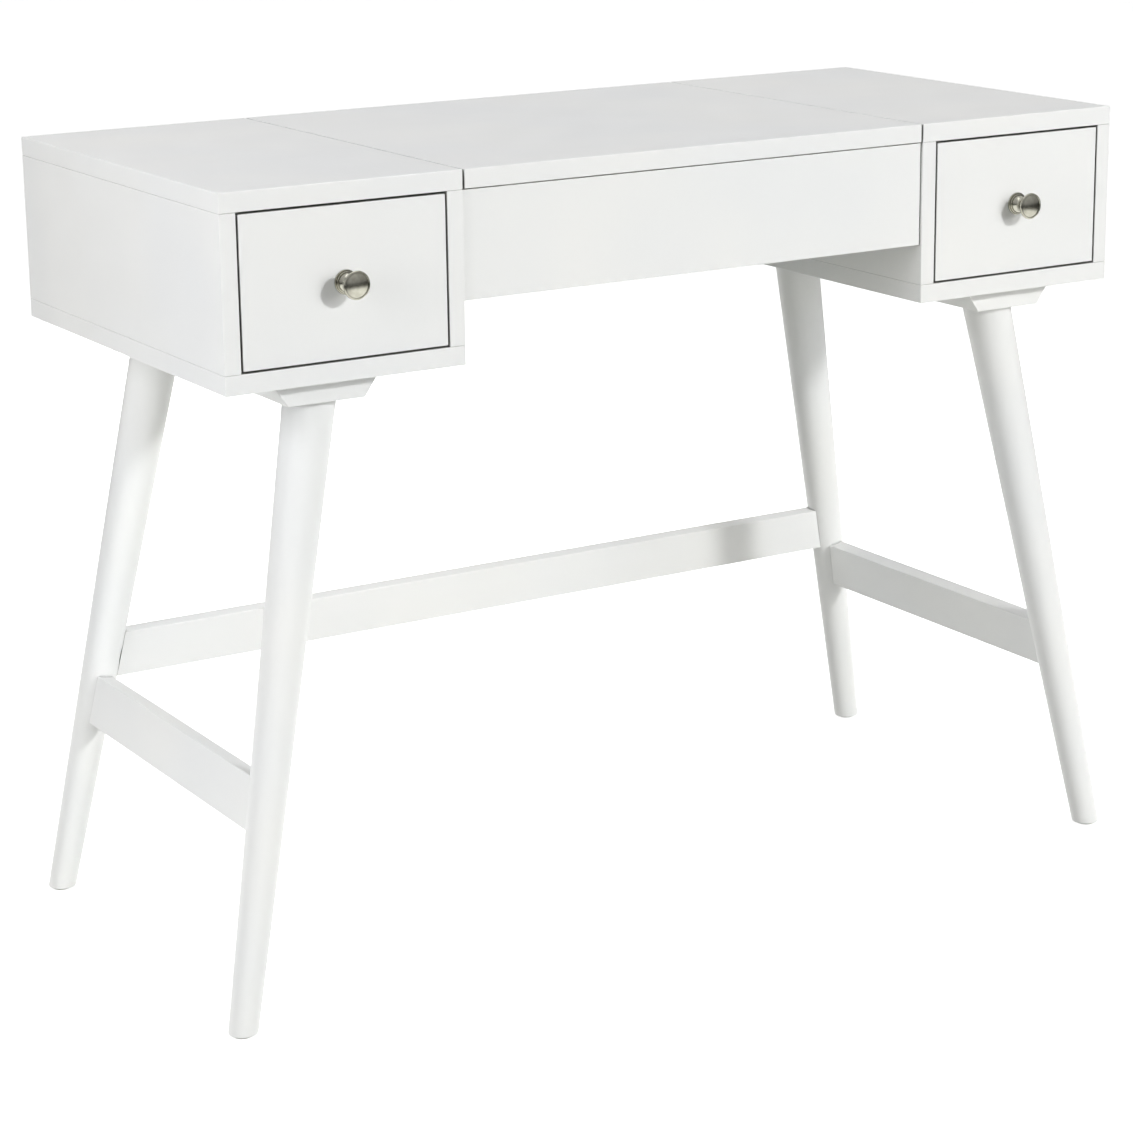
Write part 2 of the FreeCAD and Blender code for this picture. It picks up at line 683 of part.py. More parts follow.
def hinge_leaf(name, side, owner):
    """One leaf: a plate flat on the board, and its knuckles round the pin. owner is 'case' or 'lid'."""
    up = 1 if owner == "lid" else -1
    start = f"{side} * size.hinge_centre - size.hinge_length / 2"
    knuckle = f"size.hinge_length / {KNUCKLES}"
    clear = "size.knuckle_radius + size.knuckle_gap"
    low = f"spot.pin_z + {clear}" if up > 0 else "spot.pin_z - size.hinge_leaf"
    solids = [
        primitive("Box", name + "_plate", (start, "spot.back", low),
                  Length="size.hinge_length", Width="size.hinge_sheet", Height=f"size.hinge_leaf - ({clear})")
    ]
    for number in range(KNUCKLES):
        if (number % 2 == 1) != (owner == "lid"):
            continue
        at_x = f"{start} + {number} * {knuckle} + size.knuckle_gap / 2"
        length = f"{knuckle} - size.knuckle_gap"
        web_low = "spot.pin_z" if up > 0 else f"spot.pin_z - ({clear}) - {LAP}"
        solids.append(
            primitive("Box", f"{name}_web_{number}", (at_x, "spot.back", web_low),
                      Length=length, Width="size.hinge_sheet", Height=f"{clear} + {LAP}")
        )
        solids.append(
            primitive("Box", f"{name}_curl_{number}",
                      (at_x, "spot.back", "spot.pin_z - size.hinge_sheet / 2"),
                      Length=length, Width="spot.hinge_setback", Height="size.hinge_sheet")
        )
        solids.append(
            primitive("Cylinder", f"{name}_knuckle_{number}", (at_x, "spot.pin_y", "spot.pin_z"), TURNS["+x"],
                      Radius="size.knuckle_radius", Height=length)
        )
    tools = [
        primitive("Cylinder", name + "_bore", (f"{start} - {PAST}", "spot.pin_y", "spot.pin_z"), TURNS["+x"],
                  Radius="size.hinge_pin_radius + size.hinge_pin_gap",
                  Height=f"size.hinge_length + 2 * {PAST}")
    ]
    screws, holes = [], []
    for step in (-1, 1):
        at = (
            f"{side} * size.hinge_centre + {step} * size.hinge_screw_spread",
            "spot.back + size.hinge_sheet",
            f"spot.pin_z + {up} * size.hinge_screw_reach",
        )
        screws.append(fitting_screw(f"{name}_screw_{len(screws)}", at, "-y", "size.hinge_sheet"))
        holes.append(fitting_hole(f"{name}_hole_{len(holes)}", at, "-y", "size.hinge_sheet"))
    leaf = cut(name, fuse(name + "_solid", solids), tools + holes)
    return leaf, screws, holes


leaves = {"case": [], "lid": []}
leaf_holes = {"case": [], "lid": []}
lid_screws = []
for side_name, side in SIDES.items():
    for owner, screws in (("case", case_screws), ("lid", lid_screws)):
        leaf, new_screws, holes = hinge_leaf(f"{side_name}_{owner}_leaf", side, owner)
        leaves[owner].append(leaf)
        leaf_holes[owner] += holes
        screws += new_screws
keep("hinge_case_leaves", group("hinge_case_leaves", leaves["case"]))
keep("hinge_lid_leaves", group("hinge_lid_leaves", leaves["lid"]))
pins = [
    primitive(
        "Cylinder", f"{side_name}_hinge_pin",
        (f"{side} * size.hinge_centre - size.hinge_length / 2", "spot.pin_y", "spot.pin_z"), TURNS["+x"],
        Radius="size.hinge_pin_radius", Height="size.hinge_length",
    )
    for side_name, side in SIDES.items()
]
keep("hinge_pins", group("hinge_pins", pins))

tray_back = board(
    "tray_back_panel",
    (f"-({tray_half})", "spot.back - size.tray_back_thickness", "spot.apron_floor"),
    (f"2 * ({tray_half})", "size.tray_back_thickness", "size.apron_height"),
)
keep("tray_back", cut("tray_back", tray_back, leaf_holes["case"]))


# ---------------------------------------------------------------- folding lid stays

def stay_pin(name, side, start, length, y, z, radius="size.stay_pin_radius"):
    """A plain pin along X, from an x on the right-hand stay towards the middle of the table."""
    turn = TURNS["-x" if side > 0 else "+x"]
    return primitive("Cylinder", name, (f"{side} * ({start})", y, z), turn, Radius=radius, Height=length)


def stay_head(name, side, start, y, z):
    return stay_pin(name, side, start, "size.stay_head_height", y, z, "size.stay_head_radius")


def slab(name, side, low, y, z, width, depth, height):
    """A box whose x runs from low towards the side wall, on either hand."""
    corner = (mirrored(side, low, width), y, z)
    return primitive("Box", name, corner, Length=width, Width=depth, Height=height)


def stay_arm(name, side, layer, pivot, far, length, far_gap):
    """A flat steel strip with round ends; its own Y runs from its pivot to the knee."""
    angle = f"atan2({far[1]} - {pivot[1]}; {far[0]} - {pivot[0]})"
    at_x = mirrored(side, layer, "size.arm_sheet")
    body = new_body(name + "_strip", (at_x, *pivot), f"rotation(vector(1; 0; 0); {angle})")
    half = "size.arm_width / 2"
    feature(body, "AdditiveBox", name + "_bar", ("0", "0", f"-{half}"),
            Length="size.arm_sheet", Width=length, Height="size.arm_width")
    for end, y in (("near", "0"), ("far", length)):
        feature(body, "AdditiveCylinder", f"{name}_{end}_end", ("0", y, "0"), TURNS["+x"],
                Radius=half, Height="size.arm_sheet")
    for end, y, gap in (
        ("near", "0", "size.stay_pin_radius + size.stay_pin_gap"),
        ("far", length, far_gap),
    ):
        if gap is None:
            continue
        feature(body, "SubtractiveCylinder", f"{name}_{end}_eye", (f"-{PAST}", y, "0"), TURNS["+x"],
                Radius=gap, Height=f"size.arm_sheet + 2 * {PAST}")
    return body


case_pivot = ("spot.case_pivot_y", "spot.case_pivot_z")
lid_pivot = ("spot.lid_pivot_y", "spot.lid_pivot_z")
knee = ("spot.knee_y", "spot.knee_z")
plate_half = "size.stay_plate_length / 2"
case_brackets, lid_brackets, lid_bracket_holes = [], [], []
for side_name, side in SIDES.items():
    # Case bracket: a plate on the tray's wall, with its pivot pin staked in and headed inside the arm.
    plate = slab(
        side_name + "_case_plate", side, "spot.inner_wall - size.stay_sheet",
        f"{case_pivot[0]} - {plate_half}", f"{case_pivot[1]} - size.arm_width / 2",
        "size.stay_sheet", "size.stay_plate_length", "size.arm_width",
    )
    pin = stay_pin(
        side_name + "_case_pin", side, "spot.inner_wall - size.stay_sheet / 2",
        f"spot.inner_wall - size.stay_sheet / 2 - spot.lower_arm_x + size.arm_air / 2 + {LAP}", *case_pivot,
    )
    head = stay_head(side_name + "_case_pin_head", side, "spot.lower_arm_x - size.arm_air / 2", *case_pivot)
    boss = stay_pin(
        side_name + "_case_boss", side, "spot.inner_wall - size.stay_sheet / 2",
        "size.stay_sheet / 2 + size.fitting_head_height", *case_pivot, "size.stay_head_radius",
    )
    holes = [
        fitting_hole(f"{side_name}_case_plate_hole_{n}", at, "+x" if side > 0 else "-x", "size.stay_sheet")
        for n, at in enumerate(stay_case_screw_spots(side))
    ]
    solid = fuse(side_name + "_case_bracket_solid", [plate, pin, head, boss])
    case_brackets.append(cut(side_name + "_case_bracket", solid, holes))

    # Lid bracket: a flange on the lid's underside and an ear beside the upper arm.
    flange = slab(
        side_name + "_lid_flange", side, "spot.ear_x - size.arm_width + size.stay_sheet",
        f"{lid_pivot[0]} - {plate_half}", "spot.lid_under - size.stay_sheet",
        "size.arm_width", "size.stay_plate_length", "size.stay_sheet",
    )
    ear_drop = "spot.lid_under - spot.lid_pivot_z"
    ear = slab(
        side_name + "_lid_ear", side, "spot.ear_x",
        f"{lid_pivot[0]} - size.arm_width / 2", "spot.lid_pivot_z",
        "size.stay_sheet", "size.arm_width", ear_drop,
    )
    ear_end = stay_pin(
        side_name + "_lid_ear_end", side, "spot.ear_x + size.stay_sheet", "size.stay_sheet", *lid_pivot,
        "size.arm_width / 2",
    )
    reach = "spot.upper_arm_x + size.arm_sheet + size.arm_air / 2"
    pin = stay_pin(side_name + "_lid_pin", side, reach, f"{reach} - spot.ear_x", *lid_pivot)
    head = stay_head(
        side_name + "_lid_pin_head", side, f"{reach} + size.stay_head_height - size.arm_air / 2", *lid_pivot
    )
    collar = stay_pin(
        side_name + "_lid_collar", side, "spot.ear_x + size.stay_sheet + size.arm_air / 2",
        "size.arm_air", *lid_pivot, "size.stay_head_radius",
    )
    holes = []
    for step in (-1, 1):
        at = (
            f"{side} * (spot.ear_x - size.arm_width / 2 + size.stay_sheet)",
            f"{lid_pivot[0]} + {step} * size.stay_screw_spread",
            "spot.lid_under - size.stay_sheet",
        )
        name = f"{side_name}_lid_bracket_{len(holes)}"
        lid_screws.append(fitting_screw(name + "_screw", at, "+z", "size.stay_sheet"))
        holes.append(fitting_hole(name + "_hole", at, "+z", "size.stay_sheet"))
    lid_bracket_holes += holes
    solid = fuse(side_name + "_lid_bracket_solid", [flange, ear, ear_end, pin, head, collar])
    lid_brackets.append(cut(side_name + "_lid_bracket", solid, holes))

    # Arms: the knee pin is fixed in the lower arm and has play in the upper arm.
    strip = stay_arm(
        side_name + "_lower", side, "spot.lower_arm_x", case_pivot, knee, "size.lower_arm_length", None
    )
    knee_start = "spot.lower_arm_x + size.arm_sheet / 2"
    knee_pin = stay_pin(
        side_name + "_knee_pin", side, knee_start,
        f"{knee_start} - spot.upper_arm_x + size.arm_air / 2 + {LAP}", *knee, "size.knee_pin_radius",
    )
    knee_head = stay_head(side_name + "_knee_head", side, "spot.upper_arm_x - size.arm_air / 2", *knee)
    keep(
        side_name + "_stay_lower_arm",
        fuse(side_name + "_stay_lower_arm", [strip, knee_pin, knee_head]),
    )
    keep(
        side_name + "_stay_upper_arm",
        stay_arm(
            side_name + "_upper", side, "spot.upper_arm_x", lid_pivot, knee, "size.upper_arm_length",
            "size.knee_pin_radius + size.knee_pin_gap",
        ),
    )
keep("stay_case_brackets", group("stay_case_brackets", case_brackets))
keep("stay_lid_brackets", group("stay_lid_brackets", lid_brackets))
keep("case_fitting_screws", group("case_fitting_screws", case_screws))
keep("lid_fitting_screws", group("lid_fitting_screws", lid_screws))


# ---------------------------------------------------------------- lid and mirror

lid_half = "spot.inner_wall - size.lid_side_gap"
lid = board(
    "lid_panel",
    (f"-({lid_half})", "spot.front", "spot.lid_under"),
    (f"2 * ({lid_half})", "size.cabinet_depth", "size.lid_thickness"),
)
keep("mirror_lid", cut("mirror_lid", lid, leaf_holes["lid"] + lid_bracket_holes))

frame_half_x = "size.mirror_width / 2 + size.mirror_gap - size.mirror_lap + size.mirror_frame_width"
frame_half_y = "size.mirror_depth / 2 + size.mirror_gap - size.mirror_lap + size.mirror_frame_width"
frame = board(
    "mirror_frame",
    (f"-({frame_half_x})", f"spot.middle - ({frame_half_y})", "spot.lid_under - size.mirror_frame_thickness"),
    (f"2 * ({frame_half_x})", f"2 * ({frame_half_y})", "size.mirror_frame_thickness"),
)
for name, half_x, half_y, low, height in (
    (
        "sight",
        "size.mirror_width / 2 - size.mirror_lap",
        "size.mirror_depth / 2 - size.mirror_lap",
        f"-{PAST}",
        f"size.mirror_frame_thickness + 2 * {PAST}",
    ),
    (
        "rebate",
        "size.mirror_width / 2 + size.mirror_gap",
        "size.mirror_depth / 2 + size.mirror_gap",
        "size.mirror_frame_thickness - size.mirror_glass - size.mirror_gap",
        f"size.mirror_glass + size.mirror_gap + {PAST}",
    ),
):
    feature(
        frame, "SubtractiveBox", "mirror_frame_" + name,
        (f"{frame_half_x} - ({half_x})", f"{frame_half_y} - ({half_y})", low),
        Length=f"2 * ({half_x})", Width=f"2 * ({half_y})", Height=height,
    )
keep("mirror_frame", frame)

glass = new_body("mirror_glass", ("0", "spot.middle", "spot.lid_under - size.mirror_glass"))
half_x, half_y = "size.mirror_width / 2", "size.mirror_depth / 2"
rim = outline(
    glass, "mirror_glass_rim", "XY_Plane",
    [(f"-{half_x}", f"-{half_y}"), (half_x, f"-{half_y}"), (half_x, half_y), (f"-{half_x}", half_y)],
)
pad(glass, "mirror_glass_sheet", rim, "size.mirror_glass")
keep("mirror_glass", eased(glass, "size.mirror_arris"))


# ---------------------------------------------------------------- drawers, runners and knobs

def channel(name, at, turn, height, lip, sheet, length):
    """A steel channel along Y: web flat at its own x = 0, lips towards +x."""
    body = new_body(name, at, turn)
    half = f"({height}) / 2"
    inner = f"({height}) / 2 - {sheet}"
    section = outline(
        body, name + "_section", "XZ_Plane",
        [
            ("0", f"-{half}"),
            (lip, f"-{half}"),
            (lip, f"-({inner})"),
            (sheet, f"-({inner})"),
            (sheet, inner),
            (lip, inner),
            (lip, half),
            ("0", half),
        ],
    )
    pad(body, name + "_channel", section, length, reverse=True)
    return body


def facing(inwards):
    """Turns a channel's open side to +x or -x."""
    return TURNS["+z"] if inwards > 0 else "rotation(vector(0; 0; 1); 180)"


def ball_cage(name, x, inwards):
    """A pressed channel that holds two rows of balls; inwards is the x direction from the case runner."""
    front_end = "spot.drawer_y + size.drawer_travel / 2 + size.cage_start"
    lip = "size.runner_space - 2 * size.runner_sheet - 2 * size.cage_air"
    start = front_end if inwards > 0 else f"{front_end} + size.cage_length"
    strip = channel(
        name + "_strip", (f"{x} + {inwards} * (size.runner_sheet + size.cage_air)", start, "spot.runner_z"),
        facing(inwards), "size.cage_height", lip, "size.cage_sheet", "size.cage_length",
    )
    count = int(size.ball_count)
    balls = [
        primitive(
            "Sphere", f"{name}_ball_{row}_{number}",
            (
                f"{x} + {inwards} * size.runner_space / 2",
                f"{front_end} + size.cage_length * {number + 0.5} / {count}",
                f"spot.runner_z + {row} * spot.ball_z",
            ),
            Radius="size.ball_radius",
        )
        for row in (-1, 1) for number in range(count)
    ]
    return fuse(name, [strip] + balls)


case_runners = []
for side_name, side in SIDES.items():
    centre = f"{side} * spot.drawer_x"
    low_x = f"{centre} - spot.box_half"

    face = new_body(
        side_name + "_drawer_face_board",
        (
            f"{centre} - spot.opening_width / 2 + size.drawer_reveal",
            "spot.front",
            "spot.opening_floor + size.drawer_reveal",
        ),
    )
    feature(
        face, "AdditiveBox", side_name + "_drawer_face",
        Length="spot.opening_width - 2 * size.drawer_reveal", Width="size.drawer_front",
        Height="spot.opening_height - 2 * size.drawer_reveal",
    )
    eased(face)
    feature(
        face, "SubtractiveBox", side_name + "_drawer_face_groove",
        (
            "size.runner_space - size.drawer_reveal + size.drawer_side - size.drawer_groove_depth",
            "size.drawer_front - size.drawer_groove_depth",
            "size.drawer_wall_lift - size.drawer_reveal + size.drawer_groove_lift",
        ),
        Length="2 * (spot.box_half - size.drawer_side + size.drawer_groove_depth)",
        Width=f"size.drawer_groove_depth + {PAST}", Height="size.drawer_bottom + 2 * size.groove_gap",
    )
    screw_hole = drill(
        side_name + "_knob_screw_hole", (centre, "spot.drawer_y", "spot.knob_z"), "-y",
        "size.knob_screw_radius + size.peg_gap", "size.drawer_front + size.knob_reach / 2",
    )
    keep(side_name + "_drawer_front", cut(side_name + "_drawer_front", face, [screw_hole]))

    for hand_name, hand in SIDES.items():
        wall_x = low_x if hand < 0 else f"{centre} + spot.box_half - size.drawer_side"
        name = f"{side_name}_drawer_{hand_name}_side"
        wall = board(
            name, (wall_x, "spot.drawer_y", "spot.box_floor"),
            ("size.drawer_side", "size.drawer_length", "size.drawer_wall_height"),
        )
        feature(
            wall, "SubtractiveBox", name + "_groove",
            (
                "size.drawer_side - size.drawer_groove_depth" if hand < 0 else f"-{PAST}",
                f"-{PAST}",
                "size.drawer_groove_lift",
            ),
            Length=f"size.drawer_groove_depth + {PAST}", Width=f"size.drawer_length + 2 * {PAST}",
            Height="size.drawer_bottom + 2 * size.groove_gap",
        )
        keep(name, wall)

    inner_x = f"{low_x} + size.drawer_side"
    inner_width = "2 * (spot.box_half - size.drawer_side)"
    groove_floor = "spot.box_floor + size.drawer_groove_lift + size.groove_gap"
    under_back = "size.drawer_groove_lift + size.drawer_bottom + 2 * size.groove_gap"
    keep(
        side_name + "_drawer_back",
        board(
            side_name + "_drawer_back",
            (
                inner_x,
                "spot.drawer_y + size.drawer_length - size.drawer_side",
                f"{groove_floor} + size.drawer_bottom + size.groove_gap",
            ),
            (inner_width, "size.drawer_side", f"size.drawer_wall_height - ({under_back})"),
        ),
    )
    tongue = "(size.drawer_groove_depth - size.groove_gap)"
    sheet = new_body(
        side_name + "_drawer_bottom",
        (f"{inner_x} - {tongue}", f"spot.drawer_y - {tongue}", groove_floor),
    )
    feature(
        sheet, "AdditiveBox", side_name + "_drawer_bottom_sheet",
        Length=f"{inner_width} + 2 * {tongue}", Width=f"size.drawer_length + {tongue}",
        Height="size.drawer_bottom",
    )
    keep(side_name + "_drawer_bottom", sheet)

    drawer_runners = []
    cages = []
    for hand in SIDES.values():
        label = f"{side_name}_{'inner' if hand * side < 0 else 'outer'}"
        wall_x = f"({centre} + {hand} * spot.opening_width / 2)"
        box_x = f"({centre} + {hand} * spot.box_half)"
        for name, x, inwards, height, lip, target in (
            (label + "_case_runner", wall_x, -hand, "size.case_runner_height", "size.case_runner_lip",
             case_runners),
            (label + "_drawer_runner", box_x, hand, "size.drawer_runner_height", "size.drawer_runner_lip",
             drawer_runners),
        ):
            start = "spot.drawer_y" if inwards > 0 else "spot.drawer_y + size.drawer_length"
            target.append(
                channel(name, (x, start, "spot.runner_z"), facing(inwards), height, lip, "size.runner_sheet",
                        "size.drawer_length")
            )
        cages.append(ball_cage(label + "_cage", wall_x, -hand))
    keep(side_name + "_drawer_runners", group(side_name + "_drawer_runners", drawer_runners))
    keep(side_name + "_ball_cages", group(side_name + "_ball_cages", cages))

    edge = "size.knob_head_edge"
    head_start = "size.knob_reach - size.knob_head_thickness"
    face_start = "size.knob_reach - size.knob_dome"
    knob = turned(
        side_name + "_knob_body",
        [
            ("0", "0"),
            ("size.knob_foot_radius", "0"),
            ("size.knob_foot_radius", "size.knob_foot_height"),
            ("size.knob_ring_radius", "size.knob_foot_height"),
            ("size.knob_ring_radius", "size.knob_ring_height"),
            ("size.knob_neck_radius", "size.knob_neck_start"),
            ("size.knob_neck_radius", "size.knob_neck_middle"),
            ("size.knob_flare_radius", "size.knob_flare_height"),
            (f"size.knob_head_radius - {edge}", head_start),
            ("size.knob_head_radius", f"{head_start} + {edge}"),
            ("size.knob_head_radius", f"{face_start} - {edge}"),
            (f"size.knob_head_radius - {edge}", face_start),
            ("0", "size.knob_reach"),
        ],
        (centre, "spot.front", "spot.knob_z"), TURNS["-y"],
    )
    keep(side_name + "_knob", cut(side_name + "_knob", knob, [screw_hole]))
    screw = turned(
        side_name + "_knob_screw",
        [
            ("0", "-size.knob_screw_head_height"),
            (f"size.knob_screw_head_radius * {HEAD_FLAT}", "-size.knob_screw_head_height"),
            ("size.knob_screw_head_radius", f"-size.knob_screw_head_height * {HEAD_RIM}"),
            ("size.knob_screw_head_radius", "0"),
            ("size.knob_screw_radius", "0"),
            ("size.knob_screw_radius", "size.knob_screw_length"),
            ("0", "size.knob_screw_length"),
        ],
        (centre, "spot.drawer_y", "spot.knob_z"), TURNS["-y"],
    )
    keep(side_name + "_knob_screw", screw)
keep("drawer_case_runners", group("drawer_case_runners", case_runners))


# ---------------------------------------------------------------- check and write

doc.recompute()
failed = [item.Name for item in doc.Objects if {"Invalid", "Error"} & set(item.State)]
if failed:
    raise RuntimeError("these objects did not build: " + ", ".join(failed))
for label, item in pieces.items():
    if item.Shape.isNull() or not item.Shape.isValid() or not item.Shape.Solids:
        raise RuntimeError(f"{label} has no valid solid")

os.makedirs("parts", exist_ok=True)
for label, item in pieces.items():
    item.Shape.exportStep(os.path.join("parts", label + ".step"))
print(f"{len(pieces)} sub-parts, {sum(len(item.Shape.Solids) for item in pieces.values())} solids")
for alias in ("front", "back", "middle", "pin_y", "pin_z", "knee_y", "knee_z", "runner_z", "tray_floor"):
    print(alias, round(float(getattr(spot, alias)), 4))
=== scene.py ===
import math

import bpy
from mathutils import Matrix, Vector


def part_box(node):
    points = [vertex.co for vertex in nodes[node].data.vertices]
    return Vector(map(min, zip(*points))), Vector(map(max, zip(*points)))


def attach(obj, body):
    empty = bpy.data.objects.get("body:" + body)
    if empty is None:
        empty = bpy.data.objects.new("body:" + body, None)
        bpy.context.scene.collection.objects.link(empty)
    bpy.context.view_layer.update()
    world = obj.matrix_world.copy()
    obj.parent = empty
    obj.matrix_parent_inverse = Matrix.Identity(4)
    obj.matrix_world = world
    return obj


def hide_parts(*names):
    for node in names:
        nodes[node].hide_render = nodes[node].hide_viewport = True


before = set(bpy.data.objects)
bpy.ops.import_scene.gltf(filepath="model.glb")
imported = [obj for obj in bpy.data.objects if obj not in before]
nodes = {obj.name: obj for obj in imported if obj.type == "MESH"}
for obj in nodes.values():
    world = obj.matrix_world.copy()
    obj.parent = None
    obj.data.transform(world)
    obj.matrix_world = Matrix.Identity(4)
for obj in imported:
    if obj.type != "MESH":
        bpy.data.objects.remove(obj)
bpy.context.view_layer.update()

mm = 0.001
nearly = 1e-6  # how close two places count as one, in metres
waveLength = 0.314  # a wave texture of scale 1 repeats after this many metres


# Small tools for modelling

def openPiece(name, addPrimitive, **settings):
    bpy.ops.object.select_all(action="DESELECT")
    addPrimitive(**settings)
    piece = bpy.context.object
    piece.name = name
    piece.data.name = name
    bpy.ops.object.mode_set(mode="EDIT")
    return piece


def pick(piece, kind, wanted):  # select only the faces or edges whose middle passes the test
    bpy.ops.mesh.select_all(action="DESELECT")
    bpy.ops.mesh.select_mode(type=kind)
    bpy.ops.object.mode_set(mode="OBJECT")
    points = piece.data.vertices
    for part in piece.data.polygons if kind == "FACE" else piece.data.edges:
        corners = [points[index].co for index in part.vertices]
        part.select = wanted(sum(corners, Vector()) / len(corners))
    bpy.ops.object.mode_set(mode="EDIT")


def closePiece(piece, smoothUnder=35):
    bpy.ops.object.mode_set(mode="EDIT")
    bpy.ops.mesh.select_all(action="SELECT")
    bpy.ops.mesh.normals_make_consistent(inside=False)
    bpy.ops.object.mode_set(mode="OBJECT")
    bpy.ops.object.transform_apply(location=True, rotation=True, scale=True)
    bpy.ops.object.shade_smooth_by_angle(angle=math.radians(smoothUnder))
    return piece


def turnPiece(name, rings, sides):  # ring by ring along its own Z, as (radius, height) in mm
    radius, height = rings[0]
    piece = openPiece(
        name, bpy.ops.mesh.primitive_circle_add,
        vertices=sides, radius=radius * mm, fill_type="NGON", location=(0, 0, height * mm),
    )
    bpy.ops.object.mode_set(mode="OBJECT")
    bpy.ops.object.transform_apply(location=True)
    bpy.ops.object.mode_set(mode="EDIT")
    bpy.ops.mesh.select_all(action="SELECT")
    for nextRadius, nextHeight in rings[1:]:
        rise = (nextHeight - height) * mm
        bpy.ops.mesh.extrude_region_move(TRANSFORM_OT_translate={"value": (0, 0, rise)})
        grow = nextRadius / radius
        bpy.ops.transform.resize(value=(grow, grow, 1), center_override=(0, 0, nextHeight * mm))
        radius, height = nextRadius, nextHeight
    return piece


def arcRings(centre, radius, start, end, steps):  # an arc of rings round a (radius, height), in degrees
    turns = [math.radians(start + (end - start) * step / steps) for step in range(steps + 1)]
    return [(centre[0] + radius * math.cos(turn), centre[1] + radius * math.sin(turn)) for turn in turns]


def stand(piece, place, facing):  # turns a piece's own Z to a direction and moves its origin to a place
    turn = Vector((0, 0, 1)).rotation_difference(Vector(facing)).to_matrix().to_4x4()
    piece.data.transform(Matrix.Translation(place) @ turn)
    piece.data.update()
    return piece


def copyPiece(piece, name):
    copy = piece.copy()
    copy.data = piece.data.copy()
    copy.name = copy.data.name = name
    bpy.context.collection.objects.link(copy)
    return copy


def loosePlaces(nodeName):  # the box of each separate solid of a CAD node
    measured = bpy.data.objects.new("measured", nodes[nodeName].data.copy())
    bpy.context.collection.objects.link(measured)
    bpy.ops.object.select_all(action="DESELECT")
    bpy.context.view_layer.objects.active = measured
    measured.select_set(True)
    bpy.ops.object.mode_set(mode="EDIT")
    bpy.ops.mesh.select_all(action="SELECT")
    bpy.ops.mesh.remove_doubles(threshold=0.01 * mm)
    bpy.ops.mesh.separate(type="LOOSE")
    bpy.ops.object.mode_set(mode="OBJECT")
    places = []
    for part in bpy.context.selected_objects:
        corners = [point.co for point in part.data.vertices]
        low = Vector([min(corner[axis] for corner in corners) for axis in range(3)])
        high = Vector([max(corner[axis] for corner in corners) for axis in range(3)])
        places.append((low, high))
    bpy.ops.object.delete()
    return sorted(places, key=lambda place: tuple(round(value, 4) for value in place[0]))


# Small tools for materials

def linearColour(code):  # sRGB hex to linear RGBA
    shares = [int(code[start:start + 2], 16) / 255 for start in (1, 3, 5)]
    linear = [share / 12.92 if share <= 0.04045 else ((share + 0.055) / 1.055) ** 2.4 for share in shares]
    return linear + [1]


def addNode(tree, kind, values=None, links=None, **settings):
    node = tree.nodes.new(kind)
    for name, value in settings.items():
        setattr(node, name, value)
    for socket, value in (values or {}).items():
        node.inputs[socket].default_value = value
    for socket, source in (links or {}).items():
        tree.links.new(source, node.inputs[socket])
    return node


def startMaterial(name):
    material = bpy.data.materials.new(name)
    material.use_nodes = True
    tree = material.node_tree
    tree.nodes.clear()
    place = addNode(tree, "ShaderNodeTexCoord").outputs["Object"]
    shader = addNode(tree, "ShaderNodeBsdfPrincipled")
    addNode(tree, "ShaderNodeOutputMaterial", links={"Surface": shader.outputs["BSDF"]})
    return material, tree, place, shader


def grain(tree, place, sizeMm, detail=3, roughness=0.5):  # noise whose lumps are about sizeMm across
    noise = addNode(
        tree, "ShaderNodeTexNoise", {"Scale": 1000 / sizeMm, "Detail": detail, "Roughness": roughness},
        {"Vector": place},
    )
    return noise.outputs["Fac"]


def spread(tree, share, low, high, fromLow=0.35, fromHigh=0.65):  # a share made a number from low to high
    return addNode(
        tree, "ShaderNodeMapRange",
        {"From Min": fromLow, "From Max": fromHigh, "To Min": low, "To Max": high}, {"Value": share},
    ).outputs["Result"]


def blendColours(tree, share, first, second):
    mix = addNode(tree, "ShaderNodeMix", data_type="RGBA")
    tree.links.new(share, mix.inputs["Factor"])
    for socket, colour in (("A", first), ("B", second)):
        target = next(s for s in mix.inputs if s.name == socket and s.type == "RGBA")
        if isinstance(colour, str):
            target.default_value = linearColour(colour)
        else:
            tree.links.new(colour, target)
    return next(s for s in mix.outputs if s.type == "RGBA")


def raiseBump(tree, shader, heights, depthMm, strength=1.0):
    bump = addNode(
        tree, "ShaderNodeBump", {"Strength": strength, "Distance": depthMm * mm}, {"Height": heights}
    )
    tree.links.new(bump.outputs["Normal"], shader.inputs["Normal"])


def creaseShadeMask(tree, reachMm):  # 1 deep in a gap or groove, 0 on open faces: the mask for painted shade in creases
    closed = addNode(tree, "ShaderNodeAmbientOcclusion", {"Distance": reachMm * mm}, samples=8)
    return spread(tree, closed.outputs["AO"], 1, 0, 0.25, 0.7)


# White satin lacquer, sprayed on board and wood: an even white with a faint orange peel and a soft sheen
lacquer = {
    "body": "#F1F1EF", "cooler": "#EDEEEE", "cloudMm": 220,
    "gap": "#8A8A86", "gapMm": 6,  # painted shade in the narrow gaps
    "roughness": (0.34, 0.42), "hazeMm": 45,
    "peelMm": 2.4, "peelDepthMm": 0.012,  # finer than 2 mm would not show
    "coat": 0.12, "coatRoughness": 0.22,
}


